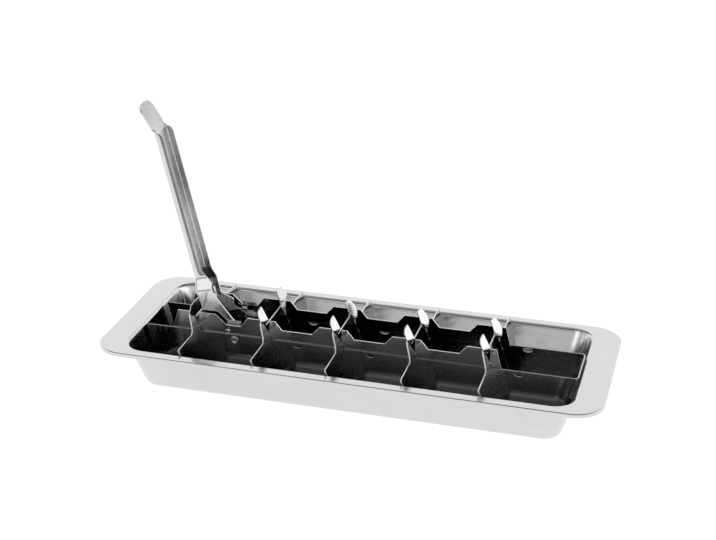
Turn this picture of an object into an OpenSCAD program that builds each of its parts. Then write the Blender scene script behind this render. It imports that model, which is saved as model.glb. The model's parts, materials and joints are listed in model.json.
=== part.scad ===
// Lever ice cube tray: a drawn steel pan with a lift-out divider grid.
// A lever on the grid draws two slide plates along the divider walls,
// and the slide plates rock the five cross plates to free the ice.
// Origin: middle of the pan's underside. +X runs along the pan, away from
// the lever's raised end, +Y across it, +Z up. Sizes are millimetres.
// The model is drawn with the lever raised.

/* [Pan] */
// Length over the rim
pan_length = 280; // [260:1:310]
// Width over the rim
pan_width = 110; // [104:1:124]
// Height of the rim's top face
pan_height = 26.5; // [24.5:0.5:27.5]
// Thickness of the pan's sheet
pan_sheet = 0.8; // [0.6:0.1:1]
// Width of the flat rim at each end
rim_end_width = 15.9; // [10:0.1:20]
// Width of the flat rim along each side
rim_side_width = 6.9; // [4:0.1:8]
// Depth of the rim's turned-down edge
rim_drop = 2.2; // [1:0.1:4]
// Slope of the end walls, in millimetres outwards for each one upwards
end_slope = 0.30; // [0.2:0.01:0.36]
// Slope of the side walls
side_slope = 0.37; // [0.25:0.01:0.4]
// Corner radius of the rim's outline
rim_corner = 17; // [10:1:24]
// Corner radius of the pan's mouth
mouth_corner = 12; // [8:1:18]
// Corner radius at the pan's floor
floor_corner = 9; // [7:1:12]
// Radius between the floor and the walls
floor_fillet = 4; // [2:0.5:5]
// Radius of the rounded lip between wall and rim
lip_radius = 2; // [1:0.25:3]

/* [Divider walls] */
// Distance between the middles of the two long walls
wall_spread = 31.2; // [29:0.2:33]
// Thickness of the divider sheet
wall_sheet = 0.8; // [0.6:0.1:1]
// Height of the long walls' top edge
wall_top = 27.1; // [26.8:0.1:27.6]
// Height of the strip that joins the walls at their far end
strip_height = 2.6; // [2:0.2:5]
// Bend radius at the strip's two corners, to the outside
strip_bend = 2.6; // [2:0.2:8]
// Gap between the divider grid and the pan's end walls
end_gap = 1.8; // [1:0.1:3]
// Gap between the joining strip and the pan's end wall
strip_gap = 0.35; // [0.3:0.05:1]
// Places of the half-moon ledges along the walls
ledge_places = [-33, 9, 91];
// Radius of a half-moon ledge
ledge_radius = 3.6; // [2.5:0.1:4.5]
// How far a ledge stands inwards
ledge_reach = 1.4; // [1.2:0.1:1.6]

/* [Cross plates] */
// Distance between cross plates
plate_pitch = 41.5; // [40:0.25:43]
// Lean of the cross plates when the lever is up, in degrees
plate_lean = 18; // [14:0.5:20]
// Height of the cross plates' hinge line
hinge_z = 4; // [3.5:0.1:5]
// Height of the wings' top edge with a plate upright
wing_top = 30.5; // [28:0.1:31]
// Height of the middle part's top edge with a plate upright
middle_top = 36.8; // [34:0.1:36.9]
// Distance of the neck's outer edge from the middle of the grid
neck_reach = 22.4; // [20.6:0.2:24]
// Length of a finger above the middle part
finger_length = 10.8; // [8:0.2:13]
// Width of a finger
finger_width = 6; // [5:0.2:8]
// Twist of the fingers that locks the slide plates down, in degrees
finger_twist = 40; // [10:1:45]
// Gap between a wing's end and the pan's side wall
wing_gap = 1.2; // [0.8:0.1:2]
// Height of a hinge ear
ear_height = 2.2; // [1.6:0.1:2.6]

/* [Slide plates] */
// Height of the slide plates' crests
crest_top = 37.7; // [37:0.1:38.5]
// Height of the notch floors between crests
notch_floor = 32.8; // [32:0.1:34]
// Height of the notch floor beside the lever
lever_notch_floor = 32; // [31.8:0.1:33]
// Height of the slide plates' bottom edge
slide_bottom = 26.3; // [26.2:0.05:26.6]
// Left end of the slide plates
slide_left = -106.6; // [-112:0.2:-100]
// Right end of the slide plates
slide_right = 81.4; // [80:0.2:84]

/* [Lever] */
// Place of the lever's pivot along the pan
pivot_x = -69.9; // [-72:0.1:-68]
// Height of the lever's pivot
pivot_z = 23.6; // [23:0.1:23.7]
// Angle of the raised lever above the pan's far end, in degrees
lever_raised = 104.3; // [100:0.1:106]
// Angle of the lowered lever, in degrees
lever_lowered = 12; // [12:0.5:20]
// Length from the pivot to the thumb tab's bend
lever_reach = 122; // [105:1:130]
// Length of the thumb tab
tab_length = 17.8; // [12:0.2:24]
// Bend of the thumb tab, in degrees
tab_bend = 18; // [5:1:30]
// Width of the lever's channel
channel_width = 17; // [14:0.2:17.4]
// Depth of the lever's channel
channel_depth = 4.4; // [3.5:0.1:6]
// Offset of the channel's open side from the pivot
channel_offset = 13; // [13:0.1:14]
// Thickness of the lever's sheet
lever_sheet = 1; // [0.8:0.1:1.2]
// Width over the two cheeks of the fork
fork_width = 24.8; // [23:0.2:25.2]
// Distance from the pivot to the drive pins
drive_radius = 6; // [5.6:0.1:6.1]

/* [Fasteners] */
// Diameter of the pivot rivet's shank
rivet_d = 3; // [2.5:0.1:3.2]
// Diameter of the pivot rivet's heads
rivet_head_d = 4.8; // [4.2:0.1:6]
// Thickness of the rivet and pin heads
head_thick = 0.6; // [0.4:0.1:0.8]
// Outer diameter of the bushing on the pivot
bushing_d = 5; // [4.4:0.1:5]
// Diameter of the drive pins
drive_pin_d = 2.2; // [2:0.1:2.4]

/* [Clearances] */
// Play on the radius of a turning fit
turn_play = 0.05; // [0.02:0.01:0.1]
// Gap between sheets that slide on each other
sheet_play = 0.15; // [0.1:0.01:0.25]
// Gap between the divider grid and the pan's floor
floor_play = 0.1; // [0.05:0.05:0.4]
// Play beside a cross plate in its slide plate's slot
slot_play = 0.3; // [0.25:0.05:0.5]
// Play beside a drive pin in its slot
drive_play = 0.3; // [0.25:0.05:0.4]

/* [Hidden] */
$fn = 48;
past = 1; // how far a cutter reaches past what it cuts
steel = [0.78, 0.79, 0.8];
dark_steel = [0.5, 0.51, 0.53];

// Heights inside the pan
floor_arc_z = pan_sheet + floor_fillet;
lip_arc_z = pan_height - lip_radius;
frame_bottom = pan_sheet + floor_play;

// Layers of the divider grid across the pan, as distances from its middle
wall_in = (wall_spread - wall_sheet) / 2;
wall_out = (wall_spread + wall_sheet) / 2;
wall_middle = wall_spread / 2;
slide_out = wall_in - sheet_play;
slide_in = slide_out - wall_sheet;
cheek_out = fork_width / 2;
cheek_in = cheek_out - lever_sheet;

// Divider walls
strip_x = pan_end(wall_top - strip_height) - strip_gap;
strip_z = wall_top - strip_height;
hinge_hole_r = norm([ear_height, wall_sheet]) / 2 + turn_play;
ledge_top = slide_bottom - sheet_play;
ledge_bend = 0.3;
ledge_half = sqrt(ledge_radius ^ 2 - (ledge_radius - ledge_reach) ^ 2);

// Motion: the drive pins swing evenly to both sides of straight up
plate_count = 5;
lever_swing = lever_raised - lever_lowered;
slide_travel = 2 * drive_radius * sin(lever_swing / 2);
drive_angle = 90 + lever_swing / 2;
drive_x = pivot_x + drive_radius * cos(drive_angle);
drive_slot_top = pivot_z + drive_radius + drive_pin_d / 2 + drive_play;

// Cross plates, measured with a plate upright
plate_bottom = frame_bottom + 0.5;
saddle_top = 31;
saddle_step = slide_bottom - 1.3;
plate_floor_cut = 6;
wing_corner = 1.2;
neck_bend = 4;
neck_slant = 1.4;
neck_top = 38;
neck_in = cheek_out + 0.4;
stem_width = 3.2;
finger_base = 39.9;
finger_tip = middle_top + finger_length;
finger_y = neck_in + 0.05 + finger_width / 2 * cos(finger_twist);
ear_reach = wall_sheet / 2 - 0.05 + sheet_play;

// Slide plates
slot_bottom = hinge_z + (saddle_top - hinge_z) * cos(plate_lean) - 0.4;
meet_z = hinge_z + slide_travel / tan(plate_lean);
crest_left = 20.8;
crest_right = 4.9;
crest_slope = 4.2;
first_crest_end = 1.7;
lever_slope = 6.4;
end_slant = 3;
lip_reach = 1.4;
lip_rise = 2.6;

// Lever, measured from its pivot along the lever and square to it
channel_top = channel_offset + channel_depth;
channel_bend = 1.8;
flare_top = 37;
flare_bottom = 30;
web_start = 24;
flange_end = 3.5;
cheek_back = [[16, 15.8], [6, 10.2]];
near_front = [[11.7, -0.5], [25.7, 5.9], [29.5, 7.4], [33.6, 8.3], [35.7, 10.4]];
far_front = [[7.6, 1.5], [8.2, 4], [9.5, 6.2], [11, 6.6], [14.8, 6.6], [16.1, 8.4], [18.4, 11.6]];
far_neck_end = 19.6;
heel_angle = 115;
near_toe_angle = 290;
far_toe_angle = 350;
foot_r = 6.5;
tab_width = channel_width - 0.8;
tab_corner = 5.5;
tab_overlap = 1.5;
pin_lean = drive_angle - lever_raised;
collar_d = drive_pin_d + 1.4;

// Points along an arc
function arc(c, r, a0, a1, n = 8) =
  [for (i = [0:n]) let (a = a0 + (a1 - a0) * i / n) c + r * [cos(a), sin(a)]];

// Place of the hinge line of cross plate i, counted from 1
function hinge_x(i) = (i - (plate_count + 1) / 2) * plate_pitch;

// Half size of the pan's wall at height z: `mouth` is its half size at the rim,
// `slope` its draft and `out` the distance outwards from its inner face
function wall_half(mouth, slope, out, z) =
  let (k = norm([1, slope]),
       low_r = floor_fillet + out,
       top_r = lip_radius - out,
       low_x = mouth + slope * (floor_arc_z - pan_height) - floor_fillet * k,
       top_x = mouth - slope * lip_radius + lip_radius * k)
  z < floor_arc_z - low_r * slope / k ? low_x + sqrt(max(0, low_r ^ 2 - (floor_arc_z - z) ^ 2))
  : z > lip_arc_z + top_r * slope / k ? top_x - sqrt(max(0, top_r ^ 2 - (z - lip_arc_z) ^ 2))
  : mouth + slope * (z - pan_height) + out * k;

function pan_end(z, out = 0) = wall_half(pan_length / 2 - rim_end_width, end_slope, out, z);
function pan_side(z, out = 0) = wall_half(pan_width / 2 - rim_side_width, side_slope, out, z);

// The side wall's straight draft line, without the fillets at its ends
function pan_draft(z) = pan_width / 2 - rim_side_width + side_slope * (z - pan_height);
function pan_corner(z, out = 0) =
  floor_corner + (mouth_corner - floor_corner) * z / pan_height + pan_side(z, out) - pan_draft(z);

// A level ring of points: half length, half width, corner radius and height
function ring(hx, hy, r, z) =
  [for (q = [0:3], p = arc([0, 0], r, 90 * q, 90 * q + 90))
    let (sx = (q == 0 || q == 3) ? 1 : -1, sy = q < 2 ? 1 : -1)
    [sx * (hx - r) + p.x, sy * (hy - r) + p.y, z]];
function wall_ring(z, out) = ring(pan_end(z, out), pan_side(z, out), pan_corner(z, out), z);
function rim_ring(inset, z) =
  ring(pan_length / 2 - inset, pan_width / 2 - inset, rim_corner - inset, z);

// Heights of the rings of one skin of the pan's wall, from the floor to the rim
function skin_heights(out) =
  let (low_r = floor_fillet + out, top_r = lip_radius - out)
  concat([for (a = [0:14:70]) floor_arc_z - low_r * cos(a)],
         [for (a = [24:22:90]) lip_arc_z + top_r * sin(a)]);

// A closed skin through level rings, the first and the last one capped
module skin(rings) {
  n = len(rings[0]);
  last = len(rings) - 1;
  sides = [for (j = [0:last - 1], i = [0:n - 1])
    let (k = (i + 1) % n) [j * n + i, (j + 1) * n + i, (j + 1) * n + k, j * n + k]];
  floor_cap = [for (i = [0:n - 1]) i];
  inner_cap = [for (i = [n - 1:-1:0]) last * n + i];
  polyhedron(points = [for (r = rings) each r], faces = concat([floor_cap], sides, [inner_cap]));
}

// A sheet standing along the pan, from y0 to y1, with an outline in X and Z
module upright_sheet(y0, y1) translate([0, y1, 0]) rotate([90, 0, 0]) linear_extrude(y1 - y0) children();

// A sheet standing across the pan at x = 0, with an outline in Y and Z
module cross_sheet(thick) rotate([90, 0, 90]) linear_extrude(thick, center = true) children();

// A round bar across the pan on the far side, from y0 to y1
module bar(d, y0, y1) translate([0, y0, 0]) rotate([-90, 0, 0]) cylinder(d = d, h = y1 - y0);

// The far-side piece, or its mirror image for the near side
module on_side(side) {
  if (side > 0) children();
  else mirror([0, 1, 0]) children();
}

module pan() color(steel) skin(concat(
  [for (z = skin_heights(pan_sheet)) wall_ring(z, pan_sheet)],
  [rim_ring(pan_sheet, pan_height - pan_sheet),
   rim_ring(pan_sheet, pan_height - rim_drop),
   rim_ring(0, pan_height - rim_drop),
   rim_ring(0, pan_height - pan_sheet * 0.6),
   rim_ring(pan_sheet * 0.25, pan_height - pan_sheet * 0.2),
   rim_ring(pan_sheet * 0.8, pan_height)],
  let (up = skin_heights(0)) [for (i = [len(up) - 1:-1:0]) wall_ring(up[i], 0)]
));

// One long wall of the divider grid, on the far side
module divider_wall() {
  end_low = pan_end(floor_arc_z + 1) - end_gap;
  end_floor = pan_end(pan_sheet) - end_gap / 2;
  bend_x = strip_x - strip_bend;
  upright_sheet(wall_in, wall_out) difference() {
    polygon([
      [-(pan_end(wall_top) - end_gap), wall_top],
      [-end_low, floor_arc_z + 1],
      [-end_floor, frame_bottom],
      [end_floor, frame_bottom],
      [end_low, floor_arc_z + 1],
      [bend_x, pan_height - (pan_end(pan_height) - end_gap - bend_x) / end_slope],
      [bend_x, wall_top]
    ]);
    for (i = [1:plate_count]) translate([hinge_x(i), hinge_z]) circle(hinge_hole_r);
    translate([pivot_x, pivot_z]) circle(rivet_d / 2 + turn_play);
    for (x = ledge_places) translate([x, ledge_top - wall_sheet - ledge_bend]) intersection() {
      circle(ledge_half);
      translate([-ledge_radius, -2 * ledge_radius]) square(2 * ledge_radius);
    }
  }
}

// The half-moon ledges that carry a slide plate, on the far side
module ledges()
  for (x = ledge_places) translate([x, 0, ledge_top - wall_sheet]) linear_extrude(wall_sheet)
    intersection() {
      translate([0, wall_in + ledge_radius - ledge_reach]) circle(ledge_radius);
      translate([-ledge_radius, wall_middle - 2 * ledge_radius]) square(2 * ledge_radius);
    }

// The strip that joins the two walls at the end away from the lever
module strip() {
  c = strip_x - strip_bend;
  ro = strip_bend;
  ri = strip_bend - wall_sheet;
  translate([0, 0, strip_z]) linear_extrude(strip_height) polygon(concat(
    arc([c, -wall_out + ro], ro, -90, 0), arc([c, wall_out - ro], ro, 0, 90),
    [[c - wall_sheet, wall_out], [c - wall_sheet, wall_in]],
    arc([c, wall_out - ro], ri, 90, 0), arc([c, -wall_out + ro], ri, 0, -90),
    [[c - wall_sheet, -wall_in], [c - wall_sheet, -wall_out]]
  ));
}

module divider_frame() color(dark_steel) {
  for (side = [-1, 1]) on_side(side) {
    divider_wall();
    ledges();
  }
  strip();
}

// Places along a slide plate around cross plate i, with the lever raised
function crest_end(i) = hinge_x(i) + (i == 1 ? first_crest_end : -crest_right);
function notch_start(i) = crest_end(i) + (i == 1 ? lever_slope : crest_slope);
function notch_end(i) = hinge_x(i + 1) - crest_left - crest_slope;

// A slide plate on the far side: crests at the cross plates, notches between
module slide_plate() color(dark_steel) {
  upright_sheet(slide_in, slide_out) difference() {
    polygon(concat(
      [[slide_left, slide_bottom], [slide_left + end_slant, crest_top]],
      [for (i = [1:plate_count - 1]) each
        let (low = i == 1 ? lever_notch_floor : notch_floor)
        [[crest_end(i), crest_top], [notch_start(i), low],
         [notch_end(i), low], [notch_end(i) + crest_slope, crest_top]]],
      [[slide_right - end_slant, crest_top], [slide_right, slide_bottom]]
    ));
    for (i = [1:plate_count]) translate([hinge_x(i), 0]) plate_slot();
    translate([drive_x - drive_pin_d / 2 - drive_play, slide_bottom - past])
      square([drive_pin_d + 2 * drive_play, drive_slot_top - slide_bottom + past]);
  }
  lever_lip();
}

// The V-slot that lets a cross plate lean and stand up as the slide plate moves
module plate_slot() {
  half = wall_sheet / cos(plate_lean) / 2 + slot_play;
  levels = [slot_bottom, meet_z, crest_top + past];
  function lean_at(z) = -(z - hinge_z) * tan(plate_lean);
  polygon(concat(
    [for (z = levels) [min(lean_at(z), -slide_travel) - half, z]],
    [for (i = [2:-1:0]) [max(lean_at(levels[i]), -slide_travel) + half, levels[i]]]
  ));
}

// The small bent lip on the notch floor beside the lever, on the far side
module lever_lip() {
  length = notch_end(1) - notch_start(1);
  translate([notch_start(1), 0, 0]) rotate([90, 0, 90]) linear_extrude(length) polygon([
    [slide_out, lever_notch_floor - wall_sheet],
    [slide_out, lever_notch_floor],
    [slide_in + wall_sheet * 0.4 - lip_reach, lever_notch_floor + lip_rise],
    [slide_in - lip_reach, lever_notch_floor + lip_rise - wall_sheet * 0.4],
    [slide_in, lever_notch_floor - wall_sheet]
  ]);
}

module near_slide_plate() on_side(-1) slide_plate();
module far_slide_plate() on_side(1) slide_plate();

// Half of a cross plate's flat outline, upright, in Y and Z
module plate_half() {
  floor_end = pan_side(plate_bottom) - wing_gap;
  wing_low = pan_side(plate_floor_cut) - wing_gap;
  wing_end = pan_draft(wing_top - wing_corner) - wing_gap;
  bend_c = [neck_reach + neck_slant + neck_bend, wing_top + neck_bend];
  stem = stem_width / 2;
  difference() {
    polygon(concat(
      [[0, plate_bottom], [floor_end - wall_sheet, plate_bottom], [wing_low, plate_floor_cut]],
      arc([wing_end - wing_corner, wing_top - wing_corner], wing_corner, 0, 90),
      arc(bend_c, neck_bend, 270, 190),
      [[neck_reach, neck_top - 1], [finger_y + stem, neck_top], [finger_y + stem, finger_base + past],
       [finger_y - stem, finger_base + past], [finger_y - stem, neck_top],
       [neck_in, middle_top], [0, middle_top]]
    ));
    difference() {
      union() {
        translate([wall_in - sheet_play, 0])
          square([wall_sheet + 2 * sheet_play, saddle_top]);
        translate([slide_in - sheet_play, saddle_step])
          square([wall_out - slide_in + 2 * sheet_play, saddle_top - saddle_step]);
      }
      for (y = [wall_in - sheet_play - past, wall_out + sheet_play - ear_reach])
        translate([y, hinge_z - ear_height / 2]) square([ear_reach + past, ear_height]);
    }
  }
}

// A finger: a leaf turned out of the plate's plane over its stem
module finger() {
  half = finger_width / 2;
  height = finger_tip - finger_base;
  shoulder = height * 0.6;
  translate([0, finger_y, finger_base]) rotate([0, 0, -finger_twist])
    cross_sheet(wall_sheet) polygon([
      [-half * 0.7, 0], [half * 0.7, 0], [half, shoulder * 0.3], [half * 0.9, shoulder],
      [half * 0.25, height], [-half * 0.25, height], [-half * 0.9, shoulder], [-half, shoulder * 0.3]
    ]);
}

module cross_plate(i) color(dark_steel)
  translate([hinge_x(i), 0, hinge_z]) rotate([0, -plate_lean, 0]) translate([0, 0, -hinge_z]) {
    for (side = [0, 1]) cross_sheet(wall_sheet) mirror([side, 0]) plate_half();
    finger();
    rotate([0, 0, 180]) finger();
  }

// Side view of a cheek of the fork, along the lever and square to it. The near one
// has a broad front, the far one is a narrow leg that widens at the pivot.
module cheek_outline(side) polygon(concat(
  [[flare_top, channel_top], [web_start, channel_top]], cheek_back,
  arc([0, 0], foot_r, heel_angle, side < 0 ? near_toe_angle : far_toe_angle),
  side < 0 ? near_front : far_front,
  side < 0 ? [[flare_top, channel_offset - 1.2]]
    : [[far_neck_end, channel_offset], [flare_top, channel_offset]]
));

// Plan of one cheek: straight beside the pivot, then drawn in to the channel
module cheek_plan() {
  slim = channel_width / 2;
  polygon([
    [-foot_r - past, cheek_out], [flare_bottom, cheek_out], [flare_top, slim],
    [flare_top, slim - lever_sheet], [flare_bottom - 0.4, cheek_in], [-foot_r - past, cheek_in]
  ]);
}

module fork() {
  for (side = [-1, 1]) on_side(side) intersection() {
    upright_sheet(0, cheek_out + past) cheek_outline(side);
    linear_extrude(4 * channel_top, center = true) cheek_plan();
  }
  slim = channel_width / 2;
  translate([0, 0, channel_top - lever_sheet]) linear_extrude(lever_sheet) polygon([
    [flare_top, slim], [flare_bottom, cheek_out], [web_start, cheek_out],
    [web_start, -cheek_out], [flare_bottom, -cheek_out], [flare_top, -slim]
  ]);
}

// The channel between the fork and the thumb tab, its flanges cut away at the tab
module channel() {
  w = channel_width / 2;
  c = channel_bend;
  difference() {
    translate([flare_top, 0, 0]) rotate([90, 0, 90]) linear_extrude(lever_reach - flare_top) polygon(concat(
      [[w, channel_offset]], arc([w - c, channel_top - c], c, 0, 90),
      arc([c - w, channel_top - c], c, 90, 180), [[-w, channel_offset], [lever_sheet - w, channel_offset]],
      arc([c - w, channel_top - c], c - lever_sheet, 180, 90),
      arc([w - c, channel_top - c], c - lever_sheet, 90, 0), [[w - lever_sheet, channel_offset]]
    ));
    upright_sheet(-channel_width, channel_width) polygon([
      [lever_reach - flange_end, channel_offset - past], [lever_reach - flange_end, channel_offset],
      [lever_reach, channel_top - lever_sheet], [lever_reach + past, channel_offset - past]
    ]);
  }
}

module thumb_tab() {
  w = tab_width / 2;
  half = lever_sheet / 2;
  mitre = half * tan(tab_bend / 2);
  tip = tab_length * [cos(tab_bend), sin(tab_bend)];
  square_off = half * [-sin(tab_bend), cos(tab_bend)];
  translate([lever_reach, 0, channel_top - half]) intersection() {
    upright_sheet(-w, w) polygon([
      [-tab_overlap, half], [-tab_overlap, -half], [mitre, -half],
      tip - square_off, tip + square_off, [-mitre, half]
    ]);
    rotate([0, -tab_bend, 0]) linear_extrude(4 * tab_length, center = true) polygon(concat(
      [[-tab_length, -tab_width], [0, -tab_width], [tab_length - tab_corner, -w]],
      arc([tab_length - tab_corner, tab_corner - w], tab_corner, -80, 0),
      arc([tab_length - tab_corner, w - tab_corner], tab_corner, 0, 80),
      [[tab_length - tab_corner, w], [0, tab_width], [-tab_length, tab_width]]
    ));
  }
}

// Anything on the lever, drawn along the lever from its pivot
module at_lever() translate([pivot_x, 0, pivot_z]) rotate([0, -lever_raised, 0]) children();

module lever() color(steel) at_lever() difference() {
  union() {
    fork();
    channel();
    thumb_tab();
  }
  for (side = [-1, 1]) on_side(side) {
    bar(rivet_d + 2 * turn_play, cheek_in - past, cheek_out + past);
    rotate([0, -pin_lean, 0]) translate([drive_radius, 0, 0])
      bar(drive_pin_d, cheek_in - past, cheek_out + past);
  }
}

module at_pivot(side) translate([pivot_x, 0, pivot_z]) on_side(side) children();

// The stack on the pivot from the outside in: head, wall, bushing, cheek, washer, head
washer_out = cheek_in - sheet_play;
washer_in = washer_out - head_thick;

module pivot_rivet(side) color(steel) at_pivot(side) {
  bar(rivet_d, washer_in - head_thick, wall_out + head_thick / 2);
  bar(rivet_head_d, washer_in - head_thick, washer_in);
  bar(rivet_head_d, wall_out, wall_out + head_thick);
}

module pivot_bushing(side) color(steel) at_pivot(side) difference() {
  bar(bushing_d, cheek_out + sheet_play, wall_in);
  bar(rivet_d + 2 * turn_play, 0, wall_out);
}

module pivot_washer(side) color(steel) at_pivot(side) difference() {
  bar(rivet_head_d + 0.8, washer_in, washer_out);
  bar(rivet_d + 2 * turn_play, 0, wall_out);
}

// A pin on the lever's cheek that runs in the slide plate's drive slot
module drive_pin(side) color(steel)
  translate([drive_x, 0, pivot_z + drive_radius * sin(drive_angle)]) on_side(side) {
    bar(drive_pin_d, cheek_in - head_thick, slide_out);
    bar(collar_d, cheek_in - head_thick, cheek_in);
    bar(collar_d, cheek_out, slide_in - sheet_play);
  }

pan();
divider_frame();
near_slide_plate();
far_slide_plate();
cross_plate(1);  // cross_plate_1
cross_plate(2);  // cross_plate_2
cross_plate(3);  // cross_plate_3
cross_plate(4);  // cross_plate_4
cross_plate(5);  // cross_plate_5
lever();
pivot_rivet(-1);  // near_pivot_rivet
pivot_rivet(1);  // far_pivot_rivet
pivot_bushing(-1);  // near_pivot_bushing
pivot_bushing(1);  // far_pivot_bushing
pivot_washer(-1);  // near_pivot_washer
pivot_washer(1);  // far_pivot_washer
drive_pin(-1);  // near_drive_pin
drive_pin(1);  // far_drive_pin
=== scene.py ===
"""A lever ice cube tray in brushed and polished steel, dressed over its CAD frame.

Lengths and places are millimetres in the tray's own frame: X along the pan, Y across
it and Z up. They become metres where a mesh, the camera or a lamp is made.
"""
from __future__ import annotations

import json
import logging
import math
from dataclasses import dataclass, field, replace
from enum import Enum
from typing import Callable, Sequence, Union

import bmesh
import bpy
from mathutils import Matrix, Vector

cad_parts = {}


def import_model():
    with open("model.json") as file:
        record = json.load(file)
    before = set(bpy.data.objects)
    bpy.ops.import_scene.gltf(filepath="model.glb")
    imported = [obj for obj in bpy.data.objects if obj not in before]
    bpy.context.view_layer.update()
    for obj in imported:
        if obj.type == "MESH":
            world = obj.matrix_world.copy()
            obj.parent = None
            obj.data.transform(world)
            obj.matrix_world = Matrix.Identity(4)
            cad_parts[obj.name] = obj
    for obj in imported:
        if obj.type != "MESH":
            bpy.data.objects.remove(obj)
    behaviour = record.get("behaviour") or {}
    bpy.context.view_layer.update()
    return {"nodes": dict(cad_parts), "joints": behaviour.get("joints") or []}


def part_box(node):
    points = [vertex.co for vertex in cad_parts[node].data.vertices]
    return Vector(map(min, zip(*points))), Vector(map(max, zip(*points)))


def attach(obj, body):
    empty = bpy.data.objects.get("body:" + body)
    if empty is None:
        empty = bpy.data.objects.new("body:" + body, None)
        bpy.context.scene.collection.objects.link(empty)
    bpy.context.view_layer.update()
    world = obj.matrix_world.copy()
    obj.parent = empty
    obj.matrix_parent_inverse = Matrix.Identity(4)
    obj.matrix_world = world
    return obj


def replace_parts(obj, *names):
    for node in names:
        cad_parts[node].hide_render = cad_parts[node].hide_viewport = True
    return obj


LOG = logging.getLogger("ice_tray")
MM = 0.001
WHITE = (1, 1, 1, 1)
PLATE_LEAN = 18.0  # lean of the cross plates with the lever up, in degrees
LEVER_RAISED = 104.3  # angle of the raised lever above the pan's far end, in degrees
FORK_PLATES = 2  # cross plates, counted from the lever, whose far finger stands beside its fork
CROSS_PLATES = 5
CAD_SHAPED = ("bushing", "washer", "drive_pin")  # small turned pieces that keep their CAD shape
Pair = tuple[float, float]
Triple = tuple[float, float, float]


# ---------------------------------------------------------------- shader helpers


class Value:
    """A node socket that holds a number and takes part in Python arithmetic."""

    def __init__(self, graph: "Graph", socket: bpy.types.NodeSocket) -> None:
        """Wraps a socket.

        Args:
            graph: The graph that the socket belongs to.
            socket: The output socket to wrap.
        """
        self.graph = graph
        self.socket = socket

    def _math(self, operation: str, first: "Operand", second: "Operand") -> "Value":
        """Adds one Math node and returns its result."""
        node = self.graph.node("ShaderNodeMath", {"operation": operation}, {0: first, 1: second})
        return Value(self.graph, node.outputs[0])

    def __add__(self, other: "Operand") -> "Value":
        """Returns self + other."""
        return self._math("ADD", self, other)

    def __sub__(self, other: "Operand") -> "Value":
        """Returns self - other."""
        return self._math("SUBTRACT", self, other)

    def __mul__(self, other: "Operand") -> "Value":
        """Returns self * other."""
        return self._math("MULTIPLY", self, other)

    def __rsub__(self, other: float) -> "Value":
        """Returns other - self."""
        return self._math("SUBTRACT", other, self)

    __radd__ = __add__
    __rmul__ = __mul__

    def clamped(self) -> "Value":
        """Returns the number kept between 0 and 1."""
        node = self.graph.node("ShaderNodeClamp", {}, {"Value": self})
        return Value(self.graph, node.outputs[0])


Operand = Union[Value, float]


class Graph:
    """The nodes of one shader tree, all made by one method."""

    def __init__(self, tree: bpy.types.NodeTree) -> None:
        """Empties the tree and keeps it."""
        self.tree = tree
        tree.nodes.clear()

    def node(self, kind: str, settings: dict[str, object], inputs: dict) -> bpy.types.Node:
        """Adds a node.

        Args:
            kind: The node's type name.
            settings: Its settings, which are set before any input.
            inputs: Values, sockets or wrapped values by input name or number.

        Returns:
            The new node.
        """
        node = self.tree.nodes.new(kind)
        for name, setting in settings.items():
            setattr(node, name, setting)
        for key, given in inputs.items():
            if isinstance(given, Value):
                given = given.socket
            if isinstance(given, bpy.types.NodeSocket):
                self.tree.links.new(given, node.inputs[key])
            else:
                node.inputs[key].default_value = given
        return node

    def value(self, node: bpy.types.Node, output: Union[str, int] = 0) -> Value:
        """Wraps one output of a node."""
        return Value(self, node.outputs[output])

    def number_ramp(self, given: Value, low: float, high: float, to: Pair) -> Value:
        """Maps a number from one range to another, smoothly and clamped.

        Args:
            given: The number.
            low: Where the first end of `to` is reached.
            high: Where the second end is reached.
            to: The two ends of the result.

        Returns:
            The mapped number.
        """
        node = self.node(
            "ShaderNodeMapRange",
            {"interpolation_type": "SMOOTHSTEP"},
            {"Value": given, "From Min": low, "From Max": high, "To Min": to[0], "To Max": to[1]},
        )
        return self.value(node)

    def mixed(self, factor: Operand, first: object, second: object) -> bpy.types.NodeSocket:
        """Mixes two colours.

        Args:
            factor: 0 for the first colour, 1 for the second.
            first: A colour, or the socket that gives it.
            second: The other colour or socket.

        Returns:
            The socket of the mixed colour.
        """
        node = self.node("ShaderNodeMix", {"data_type": "RGBA"}, {0: factor, 6: first, 7: second})
        return node.outputs[2]


class Grain(Enum):
    """The direction in which a sheet was brushed, as a stretch of its noise."""

    ALONG = (0.025, 1.0, 1.0)
    UPWARDS = (1.0, 1.0, 0.05)
    EVEN = (1.0, 1.0, 1.0)


@dataclass(frozen=True)
class Shade:
    """A painted shade on a sheet: its tone falls from one place to another.

    Attributes:
        axis: The axis that the tone changes along.
        start: The place from which the tone falls, in millimetres.
        end: The place from which it has fallen.
        factor: The share of the tone that is left there.
    """

    axis: str
    start: float
    end: float
    factor: float


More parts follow.
